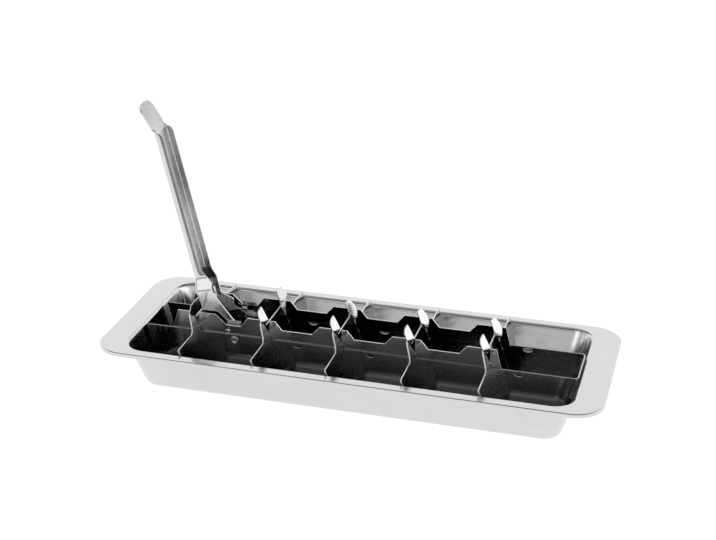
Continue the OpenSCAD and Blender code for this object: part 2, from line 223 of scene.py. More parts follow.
@dataclass(frozen=True)
class SteelFinish:
    """A bare steel surface with brush lines, soft stains and a slight wave.

    Widths, sizes and depths are millimetres. A gloss is how far its pattern moves the
    roughness, and `tones` are the darkest and the lightest share of the colour.
    """

    name: str
    colour: Triple
    roughness: float
    grain: Grain
    line_width: float = 0.35
    line_depth: float = 0.0015
    line_gloss: float = 0.1
    line_detail: float = 5.0
    line_share: float = 0.6
    stain_size: float = 28.0
    stain_gloss: float = 0.06
    stain_detail: float = 3.0
    wave_size: float = 16.0
    wave_depth: float = 0.02
    wave_detail: float = 1.0
    tones: Pair = (0.93, 1.04)
    tone_range: Pair = (0.35, 0.65)
    # painted shade: where given, the colour darkens along one axis
    shade: Shade | None = None

    def make(self) -> bpy.types.Material:
        """Builds the material.

        Returns:
            The new material.
        """
        material = bpy.data.materials.new(self.name)
        material.use_nodes = True
        graph = Graph(material.node_tree)
        place = graph.node("ShaderNodeTexCoord", {}, {}).outputs["Object"]
        lines = self._noise(graph, place, self.line_width, self.grain, self.line_detail)
        stains = self._noise(graph, place, self.stain_size, Grain.EVEN, self.stain_detail)
        wave = self._noise(graph, place, self.wave_size, Grain.EVEN, self.wave_detail)
        gloss = (lines - 0.5) * self.line_gloss + (stains - 0.5) * self.stain_gloss
        height = lines * self.line_depth + wave * self.wave_depth
        bump = graph.node("ShaderNodeBump", {}, {"Height": height, "Distance": MM, "Strength": 1.0})
        surface = graph.node(
            "ShaderNodeBsdfPrincipled",
            {},
            {
                "Base Color": self._toned(graph, place, lines, stains),
                "Metallic": 1.0,
                "Roughness": (self.roughness + gloss).clamped(),
                "Normal": bump.outputs[0],
            },
        )
        graph.node("ShaderNodeOutputMaterial", {}, {"Surface": surface.outputs[0]})
        return material

    def _toned(
        self, graph: Graph, place: bpy.types.NodeSocket, lines: Value, stains: Value
    ) -> bpy.types.NodeSocket:
        """Varies the colour with the lines and the stains, and darkens it along the painted shade.

        Args:
            graph: The material's nodes.
            place: The socket that gives the place on the piece.
            lines: The brush lines.
            stains: The soft stains.

        Returns:
            The socket of the colour.
        """
        pattern = lines * self.line_share + stains * (1 - self.line_share)
        tone = graph.number_ramp(pattern, *self.tone_range, (0.0, 1.0))
        dark, light = ((*(c * t for c in self.colour), 1) for t in self.tones)
        colour = graph.mixed(tone, dark, light)
        if self.shade is None:
            return colour
        # painted shade: the colour is scaled down over the span along the axis
        painted_shade = self.shade
        parts = graph.node("ShaderNodeSeparateXYZ", {}, {"Vector": place})
        along = graph.value(parts, painted_shade.axis)
        painted_dark = graph.number_ramp(along, painted_shade.start * MM, painted_shade.end * MM, (1.0, painted_shade.factor))
        scaled = graph.node("ShaderNodeVectorMath", {"operation": "SCALE"}, {0: colour, "Scale": painted_dark})
        return scaled.outputs[0]

    @staticmethod
    def _noise(
        graph: Graph, place: bpy.types.NodeSocket, size: float, grain: Grain, detail: float
    ) -> Value:
        """Adds noise that may be stretched along one axis.

        Args:
            graph: The material's nodes.
            place: The socket that gives the place on the piece.
            size: The size of its grains, in millimetres.
            grain: The direction that it is stretched along.
            detail: Its levels of detail.

        Returns:
            The noise, from 0 to 1.
        """
        scale = tuple(s / (size * MM) for s in grain.value)
        mapped = graph.node("ShaderNodeMapping", {}, {"Vector": place, "Scale": scale})
        noise = graph.node(
            "ShaderNodeTexNoise", {}, {"Vector": mapped.outputs[0], "Scale": 1.0, "Detail": detail}
        )
        return graph.value(noise, "Fac")


def steel(tone: float, cool: float = 0.005) -> Triple:
    """Returns a grey that is a little bluer than it is red."""
    return (tone, tone, tone + cool)


class Finishes:
    """Every finish of the tray, made once.

    Each list holds a piece's materials: its sheet first, then its cut edges or inside.
    """

    def __init__(self) -> None:
        """Makes the materials."""
        edge = SteelFinish(
            "sheared_edge_steel", steel(0.95, 0.0), 0.45, Grain.EVEN, wave_depth=0.0
        ).make()
        self.pan = self._pan()
        self.divider = self._divider()
        self.slides = [self.divider[0], edge]
        plates = SteelFinish(
            "polished_cross_plate_steel",
            steel(0.42),
            0.1,
            Grain.UPWARDS,
            line_depth=0.0003,
            line_gloss=0.03,
            wave_depth=0.002,
        )
        # painted highlight: the finger leaves take a lighter copy of the plate steel (0.78 against 0.42)
        leaf = replace(plates, name="painted_highlight_finger_steel", colour=steel(0.78))
        self.cross = [plates.make(), edge, leaf.make()]
        self.lever = self._lever()
        fastener = SteelFinish(
            "plain_fastener_steel", steel(0.9, 0.01), 0.25, Grain.EVEN, wave_depth=0.004
        )
        self.fastener = [fastener.make()]

    @staticmethod
    def _pan() -> list[bpy.types.Material]:
        """Makes the pan's satin outside and its inside, a lighter copy with painted light on the far wall
        and painted shade everywhere else.

        Returns:
            Both materials.
        """
        outside = SteelFinish(
            "satin_pan_steel",
            steel(0.66),
            0.17,
            Grain.ALONG,
            line_depth=0.0008,
            line_gloss=0.06,
            wave_depth=0.004,
            tones=(0.96, 1.03),
        )
        # painted light and shade: the inside is a lighter copy of the pan steel (0.88 against 0.66), and
        # its painted shade darkens it to 0.45 away from the far wall
        inside = SteelFinish(
            "satin_pan_inside_painted_light_and_shade",
            steel(0.88),
            0.17,
            Grain.ALONG,
            line_depth=0.0006,
            line_gloss=0.05,
            wave_depth=0.002,
            shade=Shade("Y", 44.0, 37.0, 0.45),
        )
        return [outside.make(), inside.make()]

    @staticmethod
    def _divider() -> list[bpy.types.Material]:
        """Makes the divider walls' polished faces and their dull edges.

        Returns:
            Makes the divider walls' polished faces and their rougher, darker edges.
        """
        walls = SteelFinish(
            "polished_divider_steel",
            steel(0.48),
            0.1,
            Grain.ALONG,
            line_depth=0.0001,
            line_gloss=0.02,
            wave_depth=0.002,
        )
        edge = SteelFinish("dull_edge_steel", steel(0.3), 0.25, Grain.EVEN, wave_depth=0.0)
        return [walls.make(), edge.make()]

    @staticmethod
    def _lever() -> list[bpy.types.Material]:
        """Makes the lever's finishes.

        Returns:
            Three pairs, each a skin's finish and that of the skin behind it.
        """
        back = SteelFinish(
            "satin_lever_steel", steel(0.66), 0.15, Grain.UPWARDS, wave_depth=0.004
        ).make()
        # painted shade: the channel's hollow takes a darker copy of the lever steel (0.5 against 0.66),
        # which is also rougher
        painted_dark = SteelFinish(
            "painted_shade_lever_hollow", steel(0.5), 0.24, Grain.UPWARDS, line_gloss=0.2, tones=(0.7, 1.3)
        )
        hollow = painted_dark.make()
        # painted dark reflection along the near flange's free edge
        streak = replace(painted_dark, name="painted_dark_reflection_streak", colour=steel(0.2)).make()
        # painted light: the feet's skin takes a much lighter copy of the steel (0.9), which is also
        # rougher
        painted_light_foot = replace(painted_dark, name="rough_painted_light_foot_steel", colour=steel(0.9), roughness=0.5).make()
        return [back, hollow, streak, hollow, back, painted_light_foot]


# ---------------------------------------------------------------- mesh helpers


def arc(centre: Pair, radius: float, start: float, end: float, steps: int = 8) -> list[Pair]:
    """Returns points along an arc, its angles in degrees."""
    angles = [math.radians(start + (end - start) * i / steps) for i in range(steps + 1)]
    return [(centre[0] + radius * math.cos(a), centre[1] + radius * math.sin(a)) for a in angles]


def circle(centre: Pair, radius: float, steps: int = 24) -> list[Pair]:
    """Returns points round a whole circle."""
    return arc(centre, radius, 0, 360 - 360 / steps, steps - 1)


def blend(low: float, high: float, x: float) -> float:
    """Returns a smooth step from 0 at `low` to 1 at `high`."""
    t = min(1.0, max(0.0, (x - low) / (high - low)))
    return t * t * (3 - 2 * t)


def turned(degrees: float, axis: str) -> Matrix:
    """Returns a turn about a main axis."""
    return Matrix.Rotation(math.radians(degrees), 4, axis)


def upright_at(y: float) -> Matrix:
    """Places a sheet drawn in X and Z, with its thickness centred on this Y."""
    return Matrix(((1, 0, 0, 0), (0, 0, -1, y), (0, 1, 0, 0), (0, 0, 0, 1)))


# Places a sheet drawn in Y and Z, with its thickness centred on X = 0.
ACROSS = Matrix(((0, 0, 1, 0), (1, 0, 0, 0), (0, 1, 0, 0), (0, 0, 0, 1)))
MIRROR_Y = Matrix.Diagonal((1, -1, 1, 1))


class Form:
    """A mesh in the making, in millimetres."""

    WELD = 0.01  # points of a sheet that lie closer together than this are joined
    FLAT = 0.8  # least share of a face's normal, square to the sheet, that isn't edge
    EDGE_STEPS = 2  # fineness of the rounding of a sheet's edges

    def __init__(self) -> None:
        """Starts with nothing in it."""
        self.mesh = bmesh.new()

    def loft(
        self,
        rings: Sequence[Sequence[Triple]],
        closed: bool = True,
        capped: bool = True,
        second: int | None = None,
    ) -> None:
        """Adds a skin through rows of points.

        Args:
            rings: Rows with the same number of points.
            closed: Whether each row joins up with its own start.
            capped: Whether the first and the last row are filled.
            second: The row from which on the faces take the second material, the last
                row's cap too.
        """
        known = len(self.mesh.faces)
        rows = [[self.mesh.verts.new(p) for p in ring] for ring in rings]
        count = len(rows[0])
        for lower, upper in zip(rows, rows[1:]):
            for i in range(count if closed else count - 1):
                k = (i + 1) % count
                self.mesh.faces.new((lower[i], lower[k], upper[k], upper[i]))
        if capped:
            self.mesh.faces.new(rows[0][::-1])
            self.mesh.faces.new(rows[-1])
        if second is not None:
            self.mesh.faces.ensure_lookup_table()
            for face in self.mesh.faces[known + second * count :]:
                face.material_index = 1
            first_cap = len(self.mesh.faces) - 2
            self.mesh.faces[first_cap].material_index = 0

    def cut_sheet(
        self,
        loops: Sequence[Sequence[Pair]],
        thickness: float,
        place: Matrix,
        edge: float = 0.12,
        bent: Callable[[Vector], Vector] | None = None,
        folds: Sequence[tuple[Pair, Pair]] = (),
        third: Callable[[Vector], bool] | None = None,
    ) -> None:
        """Adds a flat sheet with eased edges.

        Args:
            loops: The outline and any holes, in the sheet's plane.
            thickness: The sheet's thickness, centred on its plane.
            place: Where the plane lies.
            edge: How far the edges are rounded.
            bent: Bends each point of the placed sheet, if given.
            folds: Lines in the sheet's plane that its faces are divided along.
            third: Tells by its placed middle whether a flat face takes the third material.
        """
        curve = bpy.data.curves.new("outline", "CURVE")
        curve.dimensions = "2D"
        curve.fill_mode = "BOTH"
        curve.extrude = thickness / 2 - edge
        curve.bevel_depth = edge
        curve.bevel_resolution = self.EDGE_STEPS
        curve.offset = -edge
        for loop in loops:
            spline = curve.splines.new("POLY")
            spline.points.add(len(loop) - 1)
            for point, (u, v) in zip(spline.points, loop):
                point.co = (u, v, 0, 1)
            spline.use_cyclic_u = True
        drawn = bpy.data.objects.new("outline", curve)
        flat = bpy.data.meshes.new_from_object(drawn)
        sheet = bmesh.new()
        sheet.from_mesh(flat)
        bmesh.ops.remove_doubles(sheet, verts=sheet.verts, dist=self.WELD)
        for (u0, v0), (u1, v1) in folds:
            geometry = sheet.verts[:] + sheet.edges[:] + sheet.faces[:]
            across = (v1 - v0, u0 - u1, 0)
            bmesh.ops.bisect_plane(sheet, geom=geometry, plane_co=(u0, v0, 0), plane_no=across)
        sheet.normal_update()
        for face in sheet.faces:
            face.material_index = 0 if abs(face.normal.z) > self.FLAT else 1
            if third and third(place @ face.calc_center_median()):
                face.material_index = 2
        for vert in sheet.verts:
            vert.co = bent(place @ vert.co) if bent else place @ vert.co
        sheet.to_mesh(flat)
        sheet.free()
        self.mesh.from_mesh(flat)
        bpy.data.objects.remove(drawn)
        bpy.data.curves.remove(curve)
        bpy.data.meshes.remove(flat)

    def lathe(self, profile: Sequence[Pair], place: Matrix, steps: int = 40) -> None:
        """Adds a body turned about its own Z, from its lowest to its highest point on the axis.

        Args:
            profile: Radius and height of each ring, the first and the last one small.
            place: Where the body lies.
            steps: Points round each ring.
        """
        rings = []
        for radius, height in profile:
            ring = circle((0, 0), radius, steps)
            rings.append([place @ Vector((x, y, height)) for x, y in ring])
        self.loft(rings)

    def moved(self, place: Matrix) -> "Form":
        """Moves all that the form holds so far, and returns the form."""
        bmesh.ops.transform(self.mesh, matrix=place, verts=self.mesh.verts)
        return self

    def piece(
        self, name: str, body: str, slot: str, finish: Sequence[bpy.types.Material], sharp: float = 32.0
    ) -> bpy.types.Object:
        """Turns the form into an object that rides on a body.

        Args:
            name: The piece's name.
            body: The body that it moves with.
            slot: The record's material slot; not used.
            finish: Its materials, the second one for cut edges or the inside.
            sharp: Edges sharper than this angle, in degrees, stay crisp.

        Returns:
            The new object.
        """
        bmesh.ops.recalc_face_normals(self.mesh, faces=self.mesh.faces)
        mesh = bpy.data.meshes.new(name)
        self.mesh.to_mesh(mesh)
        self.mesh.free()
        mesh.transform(Matrix.Scale(MM, 4))
        mesh.polygons.foreach_set("use_smooth", [True] * len(mesh.polygons))
        mesh.set_sharp_from_angle(angle=math.radians(sharp))
        for material in finish:
            mesh.materials.append(material)
        made = bpy.data.objects.new(name, mesh)
        bpy.context.scene.collection.objects.link(made)
        evened(made)
        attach(made, body)
        LOG.info("%s rides on %s, %d faces", name, body, len(made.data.polygons))
        return made


EASED_ABOVE = 50.0  # edges sharper than this angle, in degrees, are eased
FLAT_WEIGHT = 100  # how far the larger faces lead when normals are evened, of 100


def evened(made: bpy.types.Object) -> None:
    """Applies a piece's modifiers and gives its flat faces even normals.

    Args:
        made: The piece.
    """
    even = made.modifiers.new("even", "WEIGHTED_NORMAL")
    even.keep_sharp = True
    even.weight = FLAT_WEIGHT
    graph = bpy.context.evaluated_depsgraph_get()
    final = bpy.data.meshes.new_from_object(made.evaluated_get(graph))
    old = made.data
    made.modifiers.clear()
    made.data = final
    final.name = old.name
    bpy.data.meshes.remove(old)


def thickened(made: bpy.types.Object, thickness: float, offset: float, edge: float) -> None:
    """Gives a surface its sheet thickness and eased edges, and applies both.

    Args:
        made: The piece.
        thickness: The sheet's thickness.
        offset: -1 to grow against the normals, 1 along them.
        edge: How far the edges are rounded.
    """
    solid = made.modifiers.new("sheet", "SOLIDIFY")
    solid.thickness = thickness * MM
    solid.offset = offset
    solid.use_even_offset = True
    solid.material_offset = 1
    ease = made.modifiers.new("edges", "BEVEL")
    ease.width = edge * MM
    ease.segments = 2
    ease.limit_method = "ANGLE"
    ease.angle_limit = math.radians(EASED_ABOVE)
    evened(made)


# ---------------------------------------------------------------- the tray


@dataclass
class Pan:
    """The drawn pan: floor, fillets, drafted walls, lip and flat rim with a turned edge."""

    length: float
    width: float
    height: float
    sheet: float = 0.8
    rim_end: float = 15.9
    rim_side: float = 6.9
    rim_drop: float = 2.2
    end_slope: float = 0.30
    side_slope: float = 0.37
    rim_corner: float = 17.0
    mouth_corner: float = 12.0
    floor_corner: float = 9.0
    floor_fillet: float = 4.0
    lip_radius: float = 2.0
    edge_share: float = 0.7
    hem_radius: float = 0.3
    hem_ease: float = 0.1
    corner_steps: int = 20
    arc_steps: int = 8
    edge_steps: int = 6
    wall_steps: int = 4

    def wall_half(self, mouth: float, slope: float, out: float, z: float) -> float:
        """Returns half the size of one skin at a height.

        Args:
            mouth: Half the mouth's size at the rim.
            slope: The wall's draft.
            out: Distance outwards from the inner skin.
            z: The height.

        Returns:
            The distance from the pan's middle plane.
        """
        k = math.hypot(1, slope)
        floor_z = self.sheet + self.floor_fillet
        lip_z = self.height - self.lip_radius
        low_r = self.floor_fillet + out
        top_r = self.lip_radius - out
        low_x = mouth + slope * (floor_z - self.height) - self.floor_fillet * k
        top_x = mouth - slope * self.lip_radius + self.lip_radius * k
        if z < floor_z - low_r * slope / k:
            return low_x + math.sqrt(max(0.0, low_r**2 - (floor_z - z) ** 2))
        if z > lip_z + top_r * slope / k:
            return top_x - math.sqrt(max(0.0, top_r**2 - (z - lip_z) ** 2))
        return mouth + slope * (z - self.height) + out * k

    def end_half(self, z: float, out: float = 0.0) -> float:
        """Returns the half length of one skin at a height."""
        return self.wall_half(self.length / 2 - self.rim_end, self.end_slope, out, z)

    def side_half(self, z: float, out: float = 0.0) -> float:
        """Returns the half width of one skin at a height."""
        return self.wall_half(self.width / 2 - self.rim_side, self.side_slope, out, z)

    def draft(self, z: float) -> float:
        """Returns the half width of the side walls' straight draft at a height."""
        return self.width / 2 - self.rim_side + self.side_slope * (z - self.height)

    def ring(self, half_x: float, half_y: float, corner: float, z: float) -> list[Triple]:
        """Returns a level rounded rectangle of points.

        Args:
            half_x: Half its length.
            half_y: Half its width.
            corner: The radius of its corners.
            z: Its height.

        Returns:
            The points, anticlockwise from +X.
        """
        points: list[Triple] = []
        for quarter in range(4):
            sx = 1 if quarter in (0, 3) else -1
            sy = 1 if quarter < 2 else -1
            for x, y in arc((0, 0), corner, 90 * quarter, 90 * quarter + 90, self.corner_steps):
                points.append((sx * (half_x - corner) + x, sy * (half_y - corner) + y, z))
        return points

    def wall_ring(self, z: float, out: float) -> list[Triple]:
        """Returns the ring of one skin of the wall at a height.

        Args:
            z: The height.
            out: Distance outwards from the inner skin.

        Returns:
            The ring's points.
        """
        grow = (self.mouth_corner - self.floor_corner) * z / self.height
        corner = self.floor_corner + grow + self.side_half(z, out) - self.draft(z)
        return self.ring(self.end_half(z, out), self.side_half(z, out), corner, z)

    def rim_ring(self, inset: float, z: float) -> list[Triple]:
        """Returns a ring of the rim's outline, set in from its edge."""
        return self.ring(self.length / 2 - inset, self.width / 2 - inset, self.rim_corner - inset, z)

    def skin_heights(self, out: float) -> list[float]:
        """Returns the heights of one skin's rings.

        Args:
            out: Distance outwards from the inner skin.

        Returns:
            The heights, from the floor over its fillet, the wall and the lip to the rim.
        """
        low_r, top_r = self.floor_fillet + out, self.lip_radius - out
        fillet_z, lip_z = self.sheet + self.floor_fillet, self.height - self.lip_radius
        steps = range(self.arc_steps + 1)
        fillet_turn = 90 - math.degrees(math.atan(self.end_slope))
        start = math.degrees(math.atan(self.side_slope))
        low_turns = [math.radians(fillet_turn * i / self.arc_steps) for i in steps]
        lip_turns = [math.radians(start + (90 - start) * i / self.arc_steps) for i in steps]
        low = [fillet_z - low_r * math.cos(turn) for turn in low_turns]
        wall = [low[-1] + (lip_z - low[-1]) * (i + 1) / self.wall_steps for i in range(self.wall_steps)]
        return low + wall + [lip_z + top_r * math.sin(turn) for turn in lip_turns]

    def hem(self) -> list[list[Triple]]:
        """Returns the rings of the rim's underside and of its turned-down edge.

        Returns:
            The rings, from the underside out and down to the outer face.
        """
        under, bottom = self.height - self.sheet, self.height - self.rim_drop
        return [
            self.rim_ring(self.sheet + self.hem_radius, under),
            self.rim_ring(self.sheet, under - self.hem_radius),
            self.rim_ring(self.sheet, bottom + self.hem_ease),
            self.rim_ring(self.sheet - self.hem_ease, bottom),
            self.rim_ring(self.hem_ease, bottom),
            self.rim_ring(0.0, bottom + self.hem_ease),
        ]

    def build(self, finishes: Finishes) -> bpy.types.Object:
        """Builds the pan over its CAD node.

        Args:
            finishes: The tray's finishes.

        Returns:
            The new piece.
        """
        edge = self.sheet * self.edge_share
        rounding = arc((0, 0), edge, 0, 90, self.edge_steps)
        outer = [self.wall_ring(z, self.sheet) for z in self.skin_heights(self.sheet)]
        top_edge = [self.rim_ring(edge - x, self.height - edge + y) for x, y in rounding]
        inner = [self.wall_ring(z, 0.0) for z in reversed(self.skin_heights(0.0))]
        outside = outer + self.hem() + top_edge
        # the inside's lip rows keep the outside's material, so the painted light and shade of the inside
        # start below the lip
        lip_rows = self.arc_steps + 1
        form = Form()
        form.loft(outside + inner, second=len(outside) + lip_rows)
        made = form.piece("drawn_pan", "pan_body", "pan_steel", finishes.pan)
        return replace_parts(made, "pan")


@dataclass
class DividerGrid:
    """The lift-out walls: one strip bent into a long U, with lanced ledges."""

    pan: Pan
    hinges: list[Vector]
    pivot: Vector
    spread: float = 31.2
    sheet: float = 0.8
    wall_top: float = 27.1
    strip_height: float = 2.6
    strip_bend: float = 2.6
    strip_gap: float = 0.35
    end_gap: float = 1.8
    floor_play: float = 0.1
    sheet_play: float = 0.15
    turn_play: float = 0.05
    ear_height: float = 2.2
    rivet_d: float = 3.0
    ledge_places: tuple[float, ...] = (-33.0, 9.0, 91.0)
    ledge_radius: float = 3.6
    ledge_reach: float = 1.4
    ledge_top: float = 26.15
    ledge_root: float = 0.1
    ledge_steps: int = 14
    shoulder_rise: float = 1.0
    strip_lap: float = 0.2
    strip_steps: int = 12

    @property
    def wall_in(self) -> float:
        """Distance of the walls' inner faces from the middle."""
        return (self.spread - self.sheet) / 2

    @property
    def wall_out(self) -> float:
        """Distance of the walls' outer faces from the middle."""
        return (self.spread + self.sheet) / 2

    @property
    def strip_x(self) -> float:
        """Place of the joining strip's outer face."""
        return self.pan.end_half(self.wall_top - self.strip_height) - self.strip_gap

    def wall_loops(self) -> list[list[Pair]]:
        """Returns a wall's outline and its holes.

        Returns:
            The outline, the hinge holes, the pivot hole and the lanced half moons, in X and Z.
        """
        pan = self.pan
        bottom = pan.sheet + self.floor_play
        shoulder = pan.sheet + pan.floor_fillet + self.shoulder_rise
        end_floor = pan.end_half(pan.sheet) - self.end_gap / 2
        end_low = pan.end_half(shoulder) - self.end_gap
        end_lip = pan.end_half(pan.height - pan.lip_radius) - self.end_gap
        end_top = pan.length / 2 - pan.rim_end - self.end_gap
        bend_x = self.strip_x - self.strip_bend
        outline = [
            (-end_floor, bottom),
            (end_floor, bottom),
            (end_low, shoulder),
            (bend_x, pan.height - (end_lip - bend_x) / pan.end_slope),
            (bend_x, self.wall_top),
            (-end_top, self.wall_top),
            (-end_low, shoulder),
        ]
        hinge_hole = math.hypot(self.ear_height, self.sheet) / 2 + self.turn_play
        loops = [outline]
        loops += [circle((p.x, p.z), hinge_hole) for p in self.hinges]
        loops.append(circle((self.pivot.x, self.pivot.z), self.rivet_d / 2 + self.turn_play))
        side = math.degrees(math.acos(self.ledge_half / self.ledge_radius))
        middle = self.ledge_top - self.sheet + self.ledge_radius - self.ledge_reach
        for x in self.ledge_places:
            loops.append(arc((x, middle), self.ledge_radius, 180 + side, 360 - side, self.ledge_steps))
        return loops

    @property
    def ledge_half(self) -> float:
        """Half the width of a ledge where it leaves the wall."""
        return math.sqrt(self.ledge_radius**2 - (self.ledge_radius - self.ledge_reach) ** 2)

    def half_moon(self, x: float, side: int) -> list[Pair]:
        """Returns a ledge's plan.

        Args:
            x: Its place along the wall.
            side: 1 for the far wall, -1 for the near one.

        Returns:
            The plan, in X and Y.
        """
        centre = self.wall_in - self.ledge_reach + self.ledge_radius
        root = centre - self.wall_in - self.ledge_root
        reach = math.degrees(math.acos(root / self.ledge_radius))
        bow = arc((x, centre), self.ledge_radius, 270 - reach, 270 + reach, self.ledge_steps)
        return [(px, side * py) for px, py in bow]

    def strip_loop(self) -> list[Pair]:
        """Returns the joining strip's plan.

        Returns:
            The plan, in X and Y, with both bends and a lap over each wall's end.
        """
        centre = self.strip_x - self.strip_bend
        start = centre - self.strip_lap
        outer, inner = self.strip_bend, self.strip_bend - self.sheet
        low, high = (centre, -self.wall_out + outer), (centre, self.wall_out - outer)
        return (
            [(start, -self.wall_out)]
            + arc(low, outer, -90, 0, self.strip_steps)
            + arc(high, outer, 0, 90, self.strip_steps)
            + [(start, self.wall_out), (start, self.wall_in)]
            + arc(high, inner, 90, 0, self.strip_steps)
            + arc(low, inner, 0, -90, self.strip_steps)
            + [(start, -self.wall_in)]
        )

    def build(self, finishes: Finishes) -> bpy.types.Object:
        """Builds the grid over its CAD node.

        Args:
            finishes: The tray's finishes.

        Returns:
            The new piece.
        """
        form = Form()
        level = Matrix.Translation((0, 0, self.ledge_top - self.sheet / 2))
        for side in (-1, 1):
            form.cut_sheet(self.wall_loops(), self.sheet, upright_at(side * self.spread / 2))
            for x in self.ledge_places:
                form.cut_sheet([self.half_moon(x, side)], self.sheet, level)
        lift = Matrix.Translation((0, 0, self.wall_top - self.strip_height / 2))
        form.cut_sheet([self.strip_loop()], self.strip_height, lift)
        made = form.piece("bent_divider_walls", "grid", "divider_steel", finishes.divider)
        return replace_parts(made, "divider_frame")


@dataclass
class SlidePlates:
    """The two crested plates that slide inside the walls and rock the cross plates."""

    grid: DividerGrid
    travel: float
    lean: float
    drive: Vector
    sheet: float = 0.8
    crest_top: float = 37.7
    notch_floor: float = 32.8
    lever_notch_floor: float = 32.0
    bottom: float = 26.3
    left: float = -106.6
    right: float = 81.4
    end_slant: float = 3.0
    crest_left: float = 20.8
    crest_right: float = 4.9
    crest_slope: float = 4.2
    first_crest_end: float = 1.7
    lever_slope: float = 6.4
    slot_play: float = 0.3
    saddle_play: float = 0.4
    saddle_top: float = 31.0
    drive_width: float = 2.8
    drive_slot_top: float = 31.0
    lip_reach: float = 1.4
    lip_rise: float = 2.6
    lip_root: float = 1.2
    lip_bend: float = 0.2
    lip_turn: float = 62.0
    lip_share: float = 0.9
    lip_ease: float = 0.3
    lip_slant: float = 0.4
    lip_sink: float = 0.1
    lip_outer_steps: int = 5
    lip_inner_steps: int = 3

    @property
    def outer(self) -> float:
        """Distance of the plates' outer faces from the middle."""
        return self.grid.wall_in - self.grid.sheet_play

    @property
    def inner(self) -> float:
        """Distance of the plates' inner faces from the middle."""
        return self.outer - self.sheet

    def slot_points(self, hinge: Vector) -> list[Pair]:
        """Returns the V-slot of one cross plate.

        Args:
            hinge: The cross plate's hinge.

        Returns:
            The slot, from its left lip down and up to its right lip.
        """
        tangent = math.tan(math.radians(self.lean))
        half = self.sheet / math.cos(math.radians(self.lean)) / 2 + self.slot_play
        meet = hinge.z + self.travel / tangent
        saddle = hinge.z + (self.saddle_top - hinge.z) * math.cos(math.radians(self.lean))
        left, right = [], []
        for z in (self.crest_top, meet, saddle - self.saddle_play):
            leaning = -(z - hinge.z) * tangent
            left.append((hinge.x + min(leaning, -self.travel) - half, z))
            right.append((hinge.x + max(leaning, -self.travel) + half, z))
        return left + right[::-1]

    def notch(self, index: int) -> Pair:
        """Returns the floor of the notch after a cross plate.

        Args:
            index: The cross plate's number, from 0 beside the lever.

        Returns:
            The X where the floor starts and ends.
        """
        first = index == 0
        start = self.grid.hinges[index].x + (self.first_crest_end if first else -self.crest_right)
        floor = start + (self.lever_slope if first else self.crest_slope)
        return floor, self.grid.hinges[index + 1].x - self.crest_left - self.crest_slope

    def outline(self) -> list[Pair]:
        """Returns the plate's outline.

        Returns:
            The outline, in X and Z, clockwise from its lower left corner.
        """
        hinges = self.grid.hinges
        half = self.drive_width / 2
        points = [(self.left, self.bottom), (self.left + self.end_slant, self.crest_top)]
        for index, hinge in enumerate(hinges):
            points += self.slot_points(hinge)
            if index < len(hinges) - 1:
                start, end = self.notch(index)
                rise = self.lever_slope if index == 0 else self.crest_slope
                floor = self.lever_notch_floor if index == 0 else self.notch_floor
                points += [(start - rise, self.crest_top), (start, floor), (end, floor)]
                points.append((end + self.crest_slope, self.crest_top))
        points += [(self.right - self.end_slant, self.crest_top), (self.right, self.bottom)]
        points += [
            (self.drive.x + half, self.bottom),
            (self.drive.x + half, self.drive_slot_top),
            (self.drive.x - half, self.drive_slot_top),
            (self.drive.x - half, self.bottom),
        ]
        return points

    def lip(self, form: Form) -> None:
        """Adds the small bent lip on the notch floor beside the lever, on the far side.

        Args:
            form: The form that it goes into.
        """
        start, end = self.notch(0)
        floor, root = self.lever_notch_floor, self.lever_notch_floor - self.lip_root
        centre = (self.inner - self.lip_bend, floor - self.lip_sink)
        top, tip = floor + self.lip_rise, self.inner - self.lip_reach
        outer_bend = self.sheet * self.lip_share + self.lip_bend
        profile = [(self.outer, root)]
        profile += arc(centre, outer_bend, 0, self.lip_turn, self.lip_outer_steps)
        profile += [(tip + self.lip_ease, top), (tip, top - self.lip_slant)]
        profile += arc(centre, self.lip_bend, self.lip_turn, 0, self.lip_inner_steps)
        profile.append((self.inner, root))
        ends = (start, start + self.lip_ease, end - self.lip_ease, end)
        form.loft([[(x, y, z) for y, z in profile] for x in ends])

    def build(self, finishes: Finishes) -> list[bpy.types.Object]:
        """Builds both plates over their CAD nodes.

        Args:
            finishes: The tray's finishes.

        Returns:
            The far and the near plate.
        """
        made = []
        for name, mirror in (("far", Matrix.Identity(4)), ("near", MIRROR_Y)):
            form = Form()
            form.cut_sheet([self.outline()], self.sheet, upright_at((self.inner + self.outer) / 2))
            self.lip(form)
            form.moved(mirror)
            piece = form.piece(f"{name}_crested_plate", "slide_plates", "divider_steel", finishes.slides)
            made.append(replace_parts(piece, f"{name}_slide_plate"))
        return made


